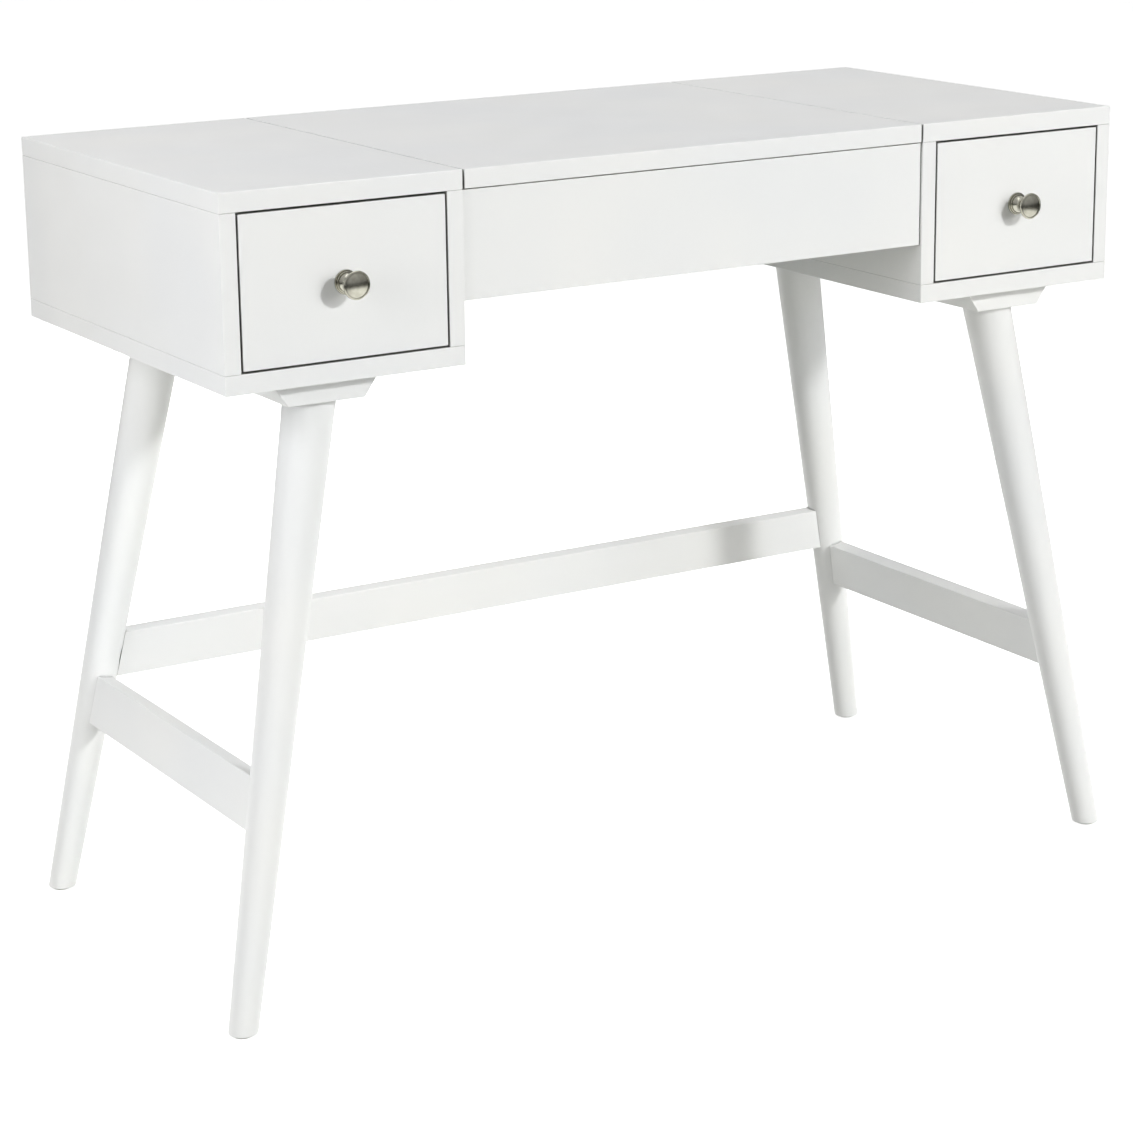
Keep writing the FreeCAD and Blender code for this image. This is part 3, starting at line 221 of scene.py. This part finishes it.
def satinWhiteLacquer():
    material, tree, place, shader = startMaterial("satinWhiteLacquer")
    clouds = spread(tree, grain(tree, place, lacquer["cloudMm"], 2), 0, 1)
    whites = blendColours(tree, clouds, lacquer["body"], lacquer["cooler"])
    # painted shade: the white darkens to grey deep in gaps and creases
    shaded = blendColours(tree, creaseShadeMask(tree, lacquer["gapMm"]), whites, lacquer["gap"])
    tree.links.new(shaded, shader.inputs["Base Color"])
    haze = spread(tree, grain(tree, place, lacquer["hazeMm"], 4), *lacquer["roughness"])
    tree.links.new(haze, shader.inputs["Roughness"])
    shader.inputs["Coat Weight"].default_value = lacquer["coat"]
    shader.inputs["Coat Roughness"].default_value = lacquer["coatRoughness"]
    raiseBump(tree, shader, grain(tree, place, lacquer["peelMm"], 2), lacquer["peelDepthMm"])
    return material


# Birch plywood under clear matt lacquer: pale, with stretched grain and thin plies along its top edges
birch = {
    "pale": "#E3CDA6", "warm": "#D2B283", "fleck": "#B58F5E", "edgeDark": "#A98559",
    "figureMm": 14, "fleckMm": 0.9, "stretch": 22, "plyMm": 1.5,
    "roughness": (0.46, 0.58), "depthMm": 0.03,
}


def birchPly(name, along, plyEdges=False):  # along is the grain's axis, 0 for X and 1 for Y
    material, tree, place, shader = startMaterial(name)
    squeeze = [1, 1, 1]
    squeeze[along] = 1 / birch["stretch"]
    drawn = addNode(tree, "ShaderNodeMapping", {"Scale": squeeze}, {"Vector": place}).outputs["Vector"]
    figure = spread(tree, grain(tree, drawn, birch["figureMm"], 5, 0.6), 0, 1)
    flecks = spread(tree, grain(tree, drawn, birch["fleckMm"], 2), 0, 0.55, 0.6, 0.75)
    colour = blendColours(tree, figure, birch["pale"], birch["warm"])
    colour = blendColours(tree, flecks, colour, birch["fleck"])
    if plyEdges:  # stripes across the thickness, only on faces that look up or down
        bands = addNode(
            tree, "ShaderNodeTexWave", {"Scale": waveLength / (2 * birch["plyMm"] * mm), "Distortion": 0.6},
            {"Vector": drawn}, bands_direction="YX"[along],
        )
        facing = addNode(tree, "ShaderNodeSeparateXYZ")
        tree.links.new(addNode(tree, "ShaderNodeNewGeometry").outputs["Normal"], facing.inputs["Vector"])
        level = addNode(
            tree, "ShaderNodeMath", {1: 0.8}, {0: facing.outputs["Z"]}, operation="GREATER_THAN",
        )
        share = addNode(
            tree, "ShaderNodeMath", links={0: bands.outputs["Fac"], 1: level.outputs["Value"]},
            operation="MULTIPLY",
        )
        colour = blendColours(tree, share.outputs["Value"], colour, birch["edgeDark"])
    tree.links.new(colour, shader.inputs["Base Color"])
    tree.links.new(spread(tree, figure, *birch["roughness"], 0, 1), shader.inputs["Roughness"])
    raiseBump(tree, shader, flecks, birch["depthMm"], 0.5)
    return material


# Bare beech of the dowels: pinkish brown with short dark flecks
beech = {"pale": "#D2AE84", "dark": "#B98B5F", "fleckMm": 1.2, "roughness": 0.6, "depthMm": 0.05}


def bareBeech():
    material, tree, place, shader = startMaterial("bareBeech")
    flecks = spread(tree, grain(tree, place, beech["fleckMm"], 4), 0, 1)
    tree.links.new(blendColours(tree, flecks, beech["pale"], beech["dark"]), shader.inputs["Base Color"])
    shader.inputs["Roughness"].default_value = beech["roughness"]
    raiseBump(tree, shader, flecks, beech["depthMm"], 0.4)
    return material


# Plated metals. Each has a slow change of tone, a fine haze and the fine marks of how it was worked
satinNickel = {
    "name": "satinNickelPlate", "tone": "#B9B7AB", "deep": "#A3A195", "toneMm": 9,
    "groove": "#3F3D38", "grooveShadeMm": 1.6,  # painted shade in the turned steps and the groove round the face
    "roughness": (0.19, 0.27), "hazeMm": 1.6, "lineMm": 0.5, "lineDepthMm": 0.004,
}
nickelSteel = {
    "name": "nickelPlatedSteel", "tone": "#C9C7C0", "deep": "#B9B6AE", "toneMm": 25,
    "roughness": (0.24, 0.34), "hazeMm": 3, "lineMm": 0.7, "lineDepthMm": 0.006,
}
zincSteel = {
    "name": "zincPlatedSteel", "tone": "#C6CACD", "deep": "#B3B7BC", "toneMm": 18,
    "roughness": (0.3, 0.44), "hazeMm": 5, "lineMm": 0.9, "lineDepthMm": 0.008,
}


def platedMetal(look):
    material, tree, place, shader = startMaterial(look["name"])
    tones = spread(tree, grain(tree, place, look["toneMm"], 3), 0, 1)
    tree.links.new(blendColours(tree, tones, look["tone"], look["deep"]), shader.inputs["Base Color"])
    haze = spread(tree, grain(tree, place, look["hazeMm"], 4), *look["roughness"])
    tree.links.new(haze, shader.inputs["Roughness"])
    shader.inputs["Metallic"].default_value = 1
    raiseBump(tree, shader, grain(tree, place, look["lineMm"], 2), look["lineDepthMm"])
    return material


def turnedNickel(side, axisPoint):  # polished on a lathe, so its fine lines run round the knob's own axis
    look = satinNickel
    material, tree, place, shader = startMaterial(look["name"] + side)
    centred = addNode(
        tree, "ShaderNodeMapping", {"Location": [-value for value in axisPoint]}, {"Vector": place}
    ).outputs["Vector"]
    tones = spread(tree, grain(tree, centred, look["toneMm"], 3), 0, 1)
    plate = blendColours(tree, tones, look["tone"], look["deep"])
    # painted shade: the plate darkens to the groove colour in the turned steps and the groove
    grooveShaded = blendColours(tree, creaseShadeMask(tree, look["grooveShadeMm"]), plate, look["groove"])
    tree.links.new(grooveShaded, shader.inputs["Base Color"])
    haze = spread(tree, grain(tree, centred, look["hazeMm"], 4), *look["roughness"])
    tree.links.new(haze, shader.inputs["Roughness"])
    shader.inputs["Metallic"].default_value = 1
    rings = addNode(
        tree, "ShaderNodeTexWave",
        {"Scale": waveLength / (look["lineMm"] * mm), "Distortion": 1.2, "Detail": 2},
        {"Vector": centred}, wave_type="RINGS", rings_direction="Y",
    )
    raiseBump(tree, shader, rings.outputs["Fac"], look["lineDepthMm"])
    return material


# Silvered float glass: a clean mirror with the faint green of the glass
mirrorLook = {"silver": "#EDF3F1", "tint": "#E6EFEC", "cloudMm": 160, "roughness": 0}


def silveredGlass():
    material, tree, place, shader = startMaterial("silveredGlass")
    clouds = spread(tree, grain(tree, place, mirrorLook["cloudMm"], 1), 0, 1)
    tree.links.new(
        blendColours(tree, clouds, mirrorLook["silver"], mirrorLook["tint"]), shader.inputs["Base Color"]
    )
    shader.inputs["Metallic"].default_value = 1
    shader.inputs["Roughness"].default_value = mirrorLook["roughness"]
    return material


# Moulded plastics, milky with fine scuffs: nylon of the glides, clear rubber of the cushions
nylonLook = {
    "name": "mouldedNylon", "colour": "#ECECE6", "scuff": "#D5D4CC", "scuffMm": 3,
    "roughness": (0.38, 0.55), "milky": 0.2, "milkyMm": 2, "clearness": 0, "depthMm": 0.01,
}
rubberLook = {
    "name": "clearRubber", "colour": "#E9ECEB", "scuff": "#DCE0DF", "scuffMm": 2,
    "roughness": (0.25, 0.4), "milky": 0.2, "milkyMm": 2, "clearness": 0.55, "depthMm": 0.01,
}


def mouldedPlastic(look):
    material, tree, place, shader = startMaterial(look["name"])
    scuffs = spread(tree, grain(tree, place, look["scuffMm"], 4), 0, 1)
    tree.links.new(blendColours(tree, scuffs, look["colour"], look["scuff"]), shader.inputs["Base Color"])
    tree.links.new(spread(tree, scuffs, *look["roughness"], 0, 1), shader.inputs["Roughness"])
    shader.inputs["Subsurface Weight"].default_value = look["milky"]
    shader.inputs["Subsurface Scale"].default_value = look["milkyMm"] * mm
    shader.inputs["Transmission Weight"].default_value = look["clearness"]
    raiseBump(tree, shader, scuffs, look["depthMm"], 0.5)
    return material


whiteLacquer = satinWhiteLacquer()
plySides = birchPly("birchPlyAlongY", 1, plyEdges=True)
plyBack = birchPly("birchPlyAlongX", 0, plyEdges=True)
plySheet = birchPly("birchPlySheet", 0)
beechWood = bareBeech()
hingeMetal = platedMetal(nickelSteel)
zincMetal = platedMetal(zincSteel)
mirrorSilver = silveredGlass()
nylon = mouldedPlastic(nylonLook)
rubber = mouldedPlastic(rubberLook)
print("materials made")


# Finish of every node that keeps its CAD shape

def nodeFinish(name):
    if name.endswith(("drawer_left_side", "drawer_right_side")):
        return plySides
    if name.endswith("drawer_back"):
        return plyBack
    if name.endswith("drawer_bottom"):
        return plySheet
    if name == "stretcher_dowels":
        return beechWood
    if "runners" in name or "cages" in name or "screw" in name or "bolt" in name:
        return zincMetal
    if "hinge" in name or "stay" in name:
        return hingeMetal
    return whiteLacquer


def paint(piece, material):
    piece.data.materials.clear()
    piece.data.materials.append(material)


for name, node in nodes.items():
    paint(node, nodeFinish(name))
print("frame painted")


# Knobs: a stepped foot, a waisted neck that flares into the head, and a low dome inside a thin rim
knob = {
    "foot": 11, "footRise": 1.5, "step": 9.7, "stepRise": 3.1, "collar": 8.3, "collarRise": 4.4,
    "soften": 0.35, "waist": 5.5, "waistHeight": 9.2, "flareEnd": 18.2, "flareRadius": 11.4,
    "head": 12.9, "rimRadius": 1.5, "rimFront": 22.3, "groove": 0.7, "grooveDepth": 0.65, "face": 10.8,
    "reach": 24, "collarSteps": 6, "neckSteps": 12, "faceSteps": 12, "sides": 96, "smoothUnder": 40,
}


def softStep(radius, start, top, soften):  # a straight wall with a rounded upper edge
    return [(radius, start)] + arcRings((radius - soften, top - soften), soften, 0, 90, 3)


def knobRings():
    k = knob
    rings = softStep(k["foot"], 0, k["footRise"], k["soften"])
    rings += softStep(k["step"], k["footRise"], k["stepRise"], k["soften"])
    rings += softStep(k["collar"], k["stepRise"], k["collarRise"], k["soften"])
    shoulder = rings[-1][0]
    for step in range(1, k["collarSteps"] + 1):  # collar down to the waist
        share = step / k["collarSteps"]
        ease = math.sin(share * math.pi / 2)
        rings.append((
            shoulder + (k["waist"] - shoulder) * ease,
            k["collarRise"] + (k["waistHeight"] - k["collarRise"]) * share,
        ))
    for step in range(1, k["neckSteps"] + 1):  # waist out to the back of the head
        share = step / k["neckSteps"]
        ease = 1 - math.cos(share * math.pi / 2)
        rings.append((
            k["waist"] + (k["flareRadius"] - k["waist"]) * ease,
            k["waistHeight"] + (k["flareEnd"] - k["waistHeight"]) * share,
        ))
    rimCentre = (k["head"] - k["rimRadius"], k["rimFront"] - k["rimRadius"])
    rings += arcRings(rimCentre, k["rimRadius"], -50, 90, 9)
    grooveFloor = k["rimFront"] - k["grooveDepth"]
    rings.append((k["face"] + k["groove"], k["rimFront"] - k["grooveDepth"] / 3))
    rings.append((k["face"] + k["groove"] / 2, grooveFloor))
    rise = k["reach"] - grooveFloor
    for step in range(k["faceSteps"]):  # the domed face
        share = step / k["faceSteps"]
        rings.append((k["face"] * (1 - share), grooveFloor + rise * (1 - (1 - share) ** 2)))
    return rings


turnedKnob = closePiece(turnPiece("turned_knob", knobRings(), knob["sides"]), knob["smoothUnder"])
for side in ("left", "right"):
    low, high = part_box(side + "_knob")
    axis = Vector(((low.x + high.x) / 2, high.y, (low.z + high.z) / 2))
    piece = stand(copyPiece(turnedKnob, side + "_turned_knob"), axis, (0, -1, 0))
    paint(piece, turnedNickel(side.capitalize(), axis))
    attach(piece, side + "_drawer")
    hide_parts(side + "_knob")
bpy.data.objects.remove(turnedKnob)
print("knobs turned")


# Screws: a pan or countersunk head with a cross recess; the plain shank ends in a point
panScrew = {"shank": 1.5, "head": 3, "rise": 1.2, "crossWidth": 0.62, "crossLength": 3.4, "crossDepth": 0.8}
knobScrew = {"shank": 2, "head": 4.2, "rise": 2, "crossWidth": 0.9, "crossLength": 5, "crossDepth": 1.3}
boardScrew = {"shank": 2, "head": 4, "sink": 2, "crossWidth": 0.9, "crossLength": 4.4, "crossDepth": 1.4}
screwShape = {"point": 0.15, "edge": 0.15, "soften": 0.1, "rounding": 0.75, "sides": 32, "smoothUnder": 35}


def screwRings(look, length):  # from the point, at height 0, to the head's top at the full length
    rings = [(screwShape["point"], 0), (look["shank"], look["shank"])]
    if "sink" in look:
        rings += [(look["shank"], length - look["sink"]), (look["head"], length - screwShape["edge"])]
        return rings + [(look["head"] - screwShape["soften"], length)]
    under = length - look["rise"]
    rings += [(look["shank"], under), (look["head"], under)]
    rounding = look["rise"] * screwShape["rounding"]
    return rings + arcRings((look["head"] - rounding, length - rounding), rounding, 0, 90, 5)


def makeScrew(look, length):
    screw = closePiece(turnPiece("screw", screwRings(look, length), screwShape["sides"]))
    for turn in (0, 90):
        bpy.ops.object.select_all(action="DESELECT")
        bpy.ops.mesh.primitive_cube_add(size=1, location=(0, 0, length * mm))
        blade = bpy.context.object
        blade.scale = (look["crossLength"] * mm, look["crossWidth"] * mm, 2 * look["crossDepth"] * mm)
        blade.rotation_euler = (0, 0, math.radians(turn))
        bpy.ops.object.transform_apply(location=True, rotation=True, scale=True)
        bpy.ops.object.select_all(action="DESELECT")
        bpy.context.view_layer.objects.active = screw
        screw.select_set(True)
        recess = screw.modifiers.new("cross", "BOOLEAN")
        recess.operation = "DIFFERENCE"
        recess.solver = "EXACT"
        recess.object = blade
        bpy.ops.object.modifier_apply(modifier=recess.name)
        bpy.data.objects.remove(blade)
    bpy.ops.object.shade_smooth_by_angle(angle=math.radians(screwShape["smoothUnder"]))
    paint(screw, zincMetal)
    return screw


def screwStand(low, high, headDown):  # where a screw's point is, and where its head looks
    reach, middle = high - low, (low + high) / 2
    if reach.y == max(reach):  # its head looks back
        return Vector((middle.x, low.y, middle.z)), (0, 1, 0)
    if reach.x == max(reach):  # its head looks to the middle of the table
        inwards = -1 if middle.x > 0 else 1
        return Vector((high.x if middle.x > 0 else low.x, middle.y, middle.z)), (inwards, 0, 0)
    if headDown:
        return Vector((middle.x, middle.y, high.z)), (0, 0, -1)
    return Vector((middle.x, middle.y, low.z)), (0, 0, 1)


def placeScrews(nodeName, look, body, headDown=False):
    places = loosePlaces(nodeName)
    screw = makeScrew(look, max(places[0][1] - places[0][0]) / mm)
    for number, (low, high) in enumerate(places, 1):
        piece = stand(copyPiece(screw, f"{nodeName}_{number}"), *screwStand(low, high, headDown))
        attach(piece, body)
        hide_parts(nodeName)
    bpy.data.objects.remove(screw)


placeScrews("case_fitting_screws", panScrew, "frame")
placeScrews("lid_fitting_screws", panScrew, "lid", True)
placeScrews("cleat_screws", boardScrew, "frame")
placeScrews("left_knob_screw", knobScrew, "left_drawer")
placeScrews("right_knob_screw", knobScrew, "right_drawer")
print("screws cut")


discSides = 48


def placeDiscs(nodeName, newName, makeRings, facing, finish):  # turned pieces that all look one way
    places = loosePlaces(nodeName)
    low, high = places[0]
    rings = makeRings((high.x - low.x) / 2 / mm, (high.z - low.z) / mm)
    disc = closePiece(turnPiece(newName, rings, discSides))
    paint(disc, finish)
    for number, (low, high) in enumerate(places, 1):
        base = Vector(((low.x + high.x) / 2, (low.y + high.y) / 2, low.z if facing > 0 else high.z))
        piece = stand(copyPiece(disc, f"{newName}_{number}"), base, (0, 0, facing))
        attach(piece, "frame")
        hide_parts(nodeName)
    bpy.data.objects.remove(disc)


# Glides: moulded nylon discs with a softened rim and a sunk centre, under the feet
glide = {"soften": 0.7, "well": 3.2, "wellDepth": 0.8, "wellSlope": 0.4}


def glideRings(radius, rise):
    g = glide
    rings = [(radius, 0)] + arcRings((radius - g["soften"], rise - g["soften"]), g["soften"], 0, 90, 4)
    rings.append((g["well"] + g["wellSlope"], rise))
    rings.append((g["well"], rise - g["wellDepth"] / 2))
    rings.append((g["well"] - g["wellSlope"], rise - g["wellDepth"]))
    return rings


# Cushions: small clear domes on the apron, under the lid
cushion = {"wall": 0.15, "steps": 7}  # the straight wall's share of the height


def cushionRings(radius, rise):
    rings = [(radius, 0)]
    for step in range(cushion["steps"]):
        turn = math.pi / 2 * step / cushion["steps"]
        dome = cushion["wall"] + (1 - cushion["wall"]) * math.sin(turn)
        rings.append((radius * math.cos(turn), rise * dome))
    return rings


placeDiscs("leg_glides", "nylon_glide", glideRings, -1, nylon)
placeDiscs("lid_bumpers", "clear_cushion", cushionRings, 1, rubber)
print("glides and cushions made")


# Mirror glass: a sheet with a wide, shallow bevel round its face, which looks down when the lid is closed
glass = {"bevel": 13, "bevelDrop": 1.2, "land": 0.4}  # the bevel starts a land's width in from the edge

low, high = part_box("mirror_glass")
middle = (low + high) / 2
piece = openPiece("bevelled_mirror", bpy.ops.mesh.primitive_cube_add, size=1, location=middle)
bpy.ops.object.mode_set(mode="OBJECT")
piece.scale = high - low
bpy.ops.object.transform_apply(location=True, rotation=True, scale=True)
bpy.ops.object.mode_set(mode="EDIT")
pick(piece, "FACE", lambda centre: centre.z < low.z + nearly)
bpy.ops.transform.translate(value=(0, 0, glass["bevelDrop"] * mm))
bpy.ops.mesh.inset(thickness=glass["land"] * mm)
bpy.ops.mesh.inset(thickness=glass["bevel"] * mm)
bpy.ops.transform.translate(value=(0, 0, -glass["bevelDrop"] * mm))
closePiece(piece, smoothUnder=2)  # so that the bevels stay flat
paint(piece, mirrorSilver)
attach(piece, "lid")
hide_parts("mirror_glass")


# Mirror frame: four mitred rails with a cove round the sight edge and a rebate that laps over the glass
rail = {
    "width": 26, "lip": 4.7, "lap": 4.3, "cove": 3.2, "coveSteps": 5, "coveProfile": 0.25,
    "round": 1.6, "roundSteps": 4, "soften": 0.25, "softenSteps": 2, "softenOver": 40,
}


def onEdge(centre, bottom, side):  # a lower edge of a rail
    return centre.z < bottom + nearly and abs(centre.y - side) < nearly


def makeRail(length, outer, top, bottom):  # built along X with its outer edge at -Y
    width = rail["width"] * mm
    piece = openPiece("mirror_rail", bpy.ops.mesh.primitive_cube_add, size=1)
    bpy.ops.object.mode_set(mode="OBJECT")
    piece.scale = (length, width, rail["lip"] * mm)
    piece.location = (0, -outer + width / 2, bottom + rail["lip"] * mm / 2)
    bpy.ops.object.transform_apply(location=True, rotation=True, scale=True)
    bpy.ops.object.mode_set(mode="EDIT")
    bpy.ops.mesh.select_all(action="SELECT")
    rebate = -outer + width - rail["lap"] * mm
    bpy.ops.mesh.bisect(plane_co=(0, rebate, 0), plane_no=(0, 1, 0))
    lipTop = bottom + rail["lip"] * mm
    pick(piece, "FACE", lambda centre: centre.z > lipTop - nearly and centre.y < rebate)
    bpy.ops.mesh.extrude_region_move(TRANSFORM_OT_translate={"value": (0, 0, top - lipTop)})
    sightEdge = -outer + width
    pick(piece, "EDGE", lambda centre: onEdge(centre, bottom, sightEdge))
    bpy.ops.mesh.bevel(offset=rail["cove"] * mm, segments=rail["coveSteps"], profile=rail["coveProfile"])
    pick(piece, "EDGE", lambda centre: onEdge(centre, bottom, -outer))
    bpy.ops.mesh.bevel(offset=rail["round"] * mm, segments=rail["roundSteps"])
    for hand in (-1, 1):  # mitres: the cut runs from the outer corner inwards at 45 degrees
        bpy.ops.mesh.select_all(action="SELECT")
        bpy.ops.mesh.bisect(
            plane_co=(hand * length / 2, -outer, 0), plane_no=(hand, 1, 0), use_fill=True, clear_outer=True
        )
    bpy.ops.object.mode_set(mode="OBJECT")
    edges = piece.modifiers.new("soften", "BEVEL")
    edges.width = rail["soften"] * mm
    edges.segments = rail["softenSteps"]
    edges.limit_method = "ANGLE"
    edges.angle_limit = math.radians(rail["softenOver"])
    bpy.ops.object.modifier_apply(modifier=edges.name)
    paint(piece, whiteLacquer)
    return closePiece(piece)


low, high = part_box("mirror_frame")
middle, reach = (low + high) / 2, high - low
railPlaces = {"front": 0, "right": 90, "back": 180, "left": 270}
for length, outer, names in (
    (reach.x, reach.y / 2, ("front", "back")),
    (reach.y, reach.x / 2, ("right", "left")),
):
    madeRail = makeRail(length, outer, high.z, low.z)
    for name in names:
        piece = copyPiece(madeRail, "mirror_rail_" + name)
        turn = Matrix.Rotation(math.radians(railPlaces[name]), 4, "Z")
        piece.data.transform(Matrix.Translation((middle.x, middle.y, 0)) @ turn)
        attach(piece, "lid")
        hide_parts("mirror_frame")
    bpy.data.objects.remove(madeRail)
print("mirror made")


# Studio: a pale floor, a soft white surround, a key light in front and soft boxes
studio = {
    "floor": 40, "floorSeen": "#F7F7F6", "floorLift": 0.8, "floorBounce": "#9FA09A",
    "floorSink": 0.5, "paperShine": 1.3, "paperEnds": (1.7, 2.6),
    "beyondPaper": "#6E6E69",  # metal mirrors white paper up to these metres, then a dark floor
    "skyLow": 0.3, "skyHigh": 0.12, "seen": 1, "reflected": (0.36, 0.7),
    "glassFloor": 0.8, "glassSky": 0.6,  # the mirror shows a brighter surround than metal does
    "aim": (0, 0, 0.6),
    "key": {"at": (1.18, -3.05, 1.87), "size": 0.26, "power": 4.2},
    "boxes": [
        {"name": "leftBox", "at": (-2.05, -0.45, 1.15), "size": 1.2, "power": 26.5, "colour": "#FDFDFF"},
        {"name": "topBox", "at": (0.2, 0.4, 3.0), "size": 2.2, "power": 25.5, "colour": "#FFFFFF"},
        {"name": "frontBox", "at": (1.6, -2.8, 1.2), "size": 1.4, "power": 36, "colour": "#FFFFFF"},
        {"name": "backBox", "at": (0.4, 3.0, 1.0), "size": 1.6, "power": 34, "colour": "#FFFFFF"},
        {"name": "rightBox", "at": (2.8, 0.7, 1.0), "size": 1.2, "power": 17, "colour": "#FFFFFF"},
    ],
    "mirrored": ("topBox",),  # the others would show as burnt spots on metal and lacquer
}


def mixShaders(tree, share, first, second):
    return addNode(tree, "ShaderNodeMixShader", links={0: share, 1: first.outputs[0], 2: second.outputs[0]})


def makeFloor():
    bpy.ops.object.select_all(action="DESELECT")
    bpy.ops.mesh.primitive_plane_add(size=studio["floor"], location=(0, 0, -studio["floorSink"] * mm))
    floor = bpy.context.object
    floor.name = "floor"
    material = bpy.data.materials.new("paleFloor")
    material.use_nodes = True
    tree = material.node_tree
    tree.nodes.clear()
    path = addNode(tree, "ShaderNodeLightPath")
    paper = addNode(tree, "ShaderNodeBsdfDiffuse", {"Color": linearColour(studio["floorSeen"])})
    lift = addNode(tree, "ShaderNodeEmission", {"Strength": studio["floorLift"]})
    bright = addNode(tree, "ShaderNodeAddShader", links={0: paper.outputs[0], 1: lift.outputs[0]})
    bounce = addNode(tree, "ShaderNodeBsdfDiffuse", {"Color": linearColour(studio["floorBounce"])})
    shine = addNode(tree, "ShaderNodeEmission", {"Strength": studio["paperShine"]})
    mirrored = addNode(tree, "ShaderNodeAddShader", links={0: bounce.outputs[0], 1: shine.outputs[0]})
    beyond = addNode(tree, "ShaderNodeBsdfDiffuse", {"Color": linearColour(studio["beyondPaper"])})
    place = addNode(tree, "ShaderNodeTexCoord").outputs["Object"]
    away = addNode(tree, "ShaderNodeVectorMath", links={0: place}, operation="LENGTH").outputs["Value"]
    rough = mixShaders(tree, spread(tree, away, 0, 1, *studio["paperEnds"]), mirrored, beyond)
    inGlass = addNode(tree, "ShaderNodeEmission", {"Strength": studio["glassFloor"]})
    reflected = mixShaders(tree, path.outputs["Is Singular Ray"], rough, inGlass)
    unseen = mixShaders(tree, path.outputs["Is Glossy Ray"], bounce, reflected)
    result = mixShaders(tree, path.outputs["Is Camera Ray"], unseen, bright)
    addNode(tree, "ShaderNodeOutputMaterial", links={"Surface": result.outputs[0]})
    paint(floor, material)


def makeSurround():
    world = bpy.data.worlds.new("studio")
    bpy.context.scene.world = world
    world.use_nodes = True
    tree = world.node_tree
    tree.nodes.clear()
    path = addNode(tree, "ShaderNodeLightPath")
    direction = addNode(tree, "ShaderNodeSeparateXYZ")
    tree.links.new(addNode(tree, "ShaderNodeTexCoord").outputs["Generated"], direction.inputs["Vector"])
    rise = direction.outputs["Z"]
    white = {"Color": (1, 1, 1, 1)}
    around = addNode(
        tree, "ShaderNodeBackground", white,
        {"Strength": spread(tree, rise, studio["skyLow"], studio["skyHigh"], 0, 1)},
    )
    rough = addNode(
        tree, "ShaderNodeBackground", white, {"Strength": spread(tree, rise, *studio["reflected"], 0, 0.5)}
    )
    inGlass = addNode(tree, "ShaderNodeBackground", {"Strength": studio["glassSky"], **white})
    reflected = mixShaders(tree, path.outputs["Is Singular Ray"], rough, inGlass)
    seen = addNode(tree, "ShaderNodeBackground", {"Strength": studio["seen"], **white})
    unseen = mixShaders(tree, path.outputs["Is Glossy Ray"], around, reflected)
    result = mixShaders(tree, path.outputs["Is Camera Ray"], unseen, seen)
    addNode(tree, "ShaderNodeOutputWorld", links={"Surface": result.outputs[0]})


def addSoftBox(name, at, size, power):
    bpy.ops.object.light_add(type="AREA", location=at)
    light = bpy.context.object
    light.name = name
    light.data.size = size
    light.data.energy = power
    light.rotation_euler = (Vector(at) - Vector(studio["aim"])).to_track_quat("Z", "Y").to_euler()
    light.visible_camera = False
    light.visible_glossy = name in studio["mirrored"]
    return light


def makeLights():
    for box in studio["boxes"]:
        light = addSoftBox(box["name"], box["at"], box["size"], box["power"])
        light.data.color = linearColour(box["colour"])[:3]
    key = addSoftBox("key", **studio["key"])
    key.data.shape = "DISK"
    key.data.use_nodes = True  # an even fall-off, so that both cabinets get the same light
    tree = key.data.node_tree
    tree.nodes.clear()
    even = addNode(tree, "ShaderNodeLightFalloff", {"Strength": 1})
    glow = addNode(tree, "ShaderNodeEmission", links={"Strength": even.outputs["Constant"]})
    addNode(tree, "ShaderNodeOutputLight", links={"Surface": glow.outputs[0]})


cameraView = {
    "azimuth": -31.29, "elevation": 14.47, "roll": -0.7, "distance": 3.0472,
    "target": (-0.01805, 0.009075, 0.3866), "lens": 95.57, "shift": (0, -0.06), "reach": 100,
}


def makeCamera():
    view = cameraView
    turn, lift, roll = (math.radians(view[name]) for name in ("azimuth", "elevation", "roll"))
    back = Vector((math.sin(turn) * math.cos(lift), -math.cos(turn) * math.cos(lift), math.sin(lift)))
    right = Vector((math.cos(turn), math.sin(turn), 0))
    up = back.cross(right)
    rolledRight = right * math.cos(roll) + up * math.sin(roll)
    rolledUp = up * math.cos(roll) - right * math.sin(roll)
    bpy.ops.object.camera_add()
    camera = bpy.context.object
    camera.matrix_world = Matrix.Translation(Vector(view["target"]) + back * view["distance"]) @ Matrix(
        (rolledRight, rolledUp, back)
    ).transposed().to_4x4()
    camera.data.lens = view["lens"]
    camera.data.shift_x, camera.data.shift_y = view["shift"]
    camera.data.clip_end = view["reach"]
    bpy.context.scene.camera = camera


makeFloor()
makeSurround()
makeLights()
makeCamera()
bpy.context.scene.view_settings.view_transform = "Standard"
print("studio lit")
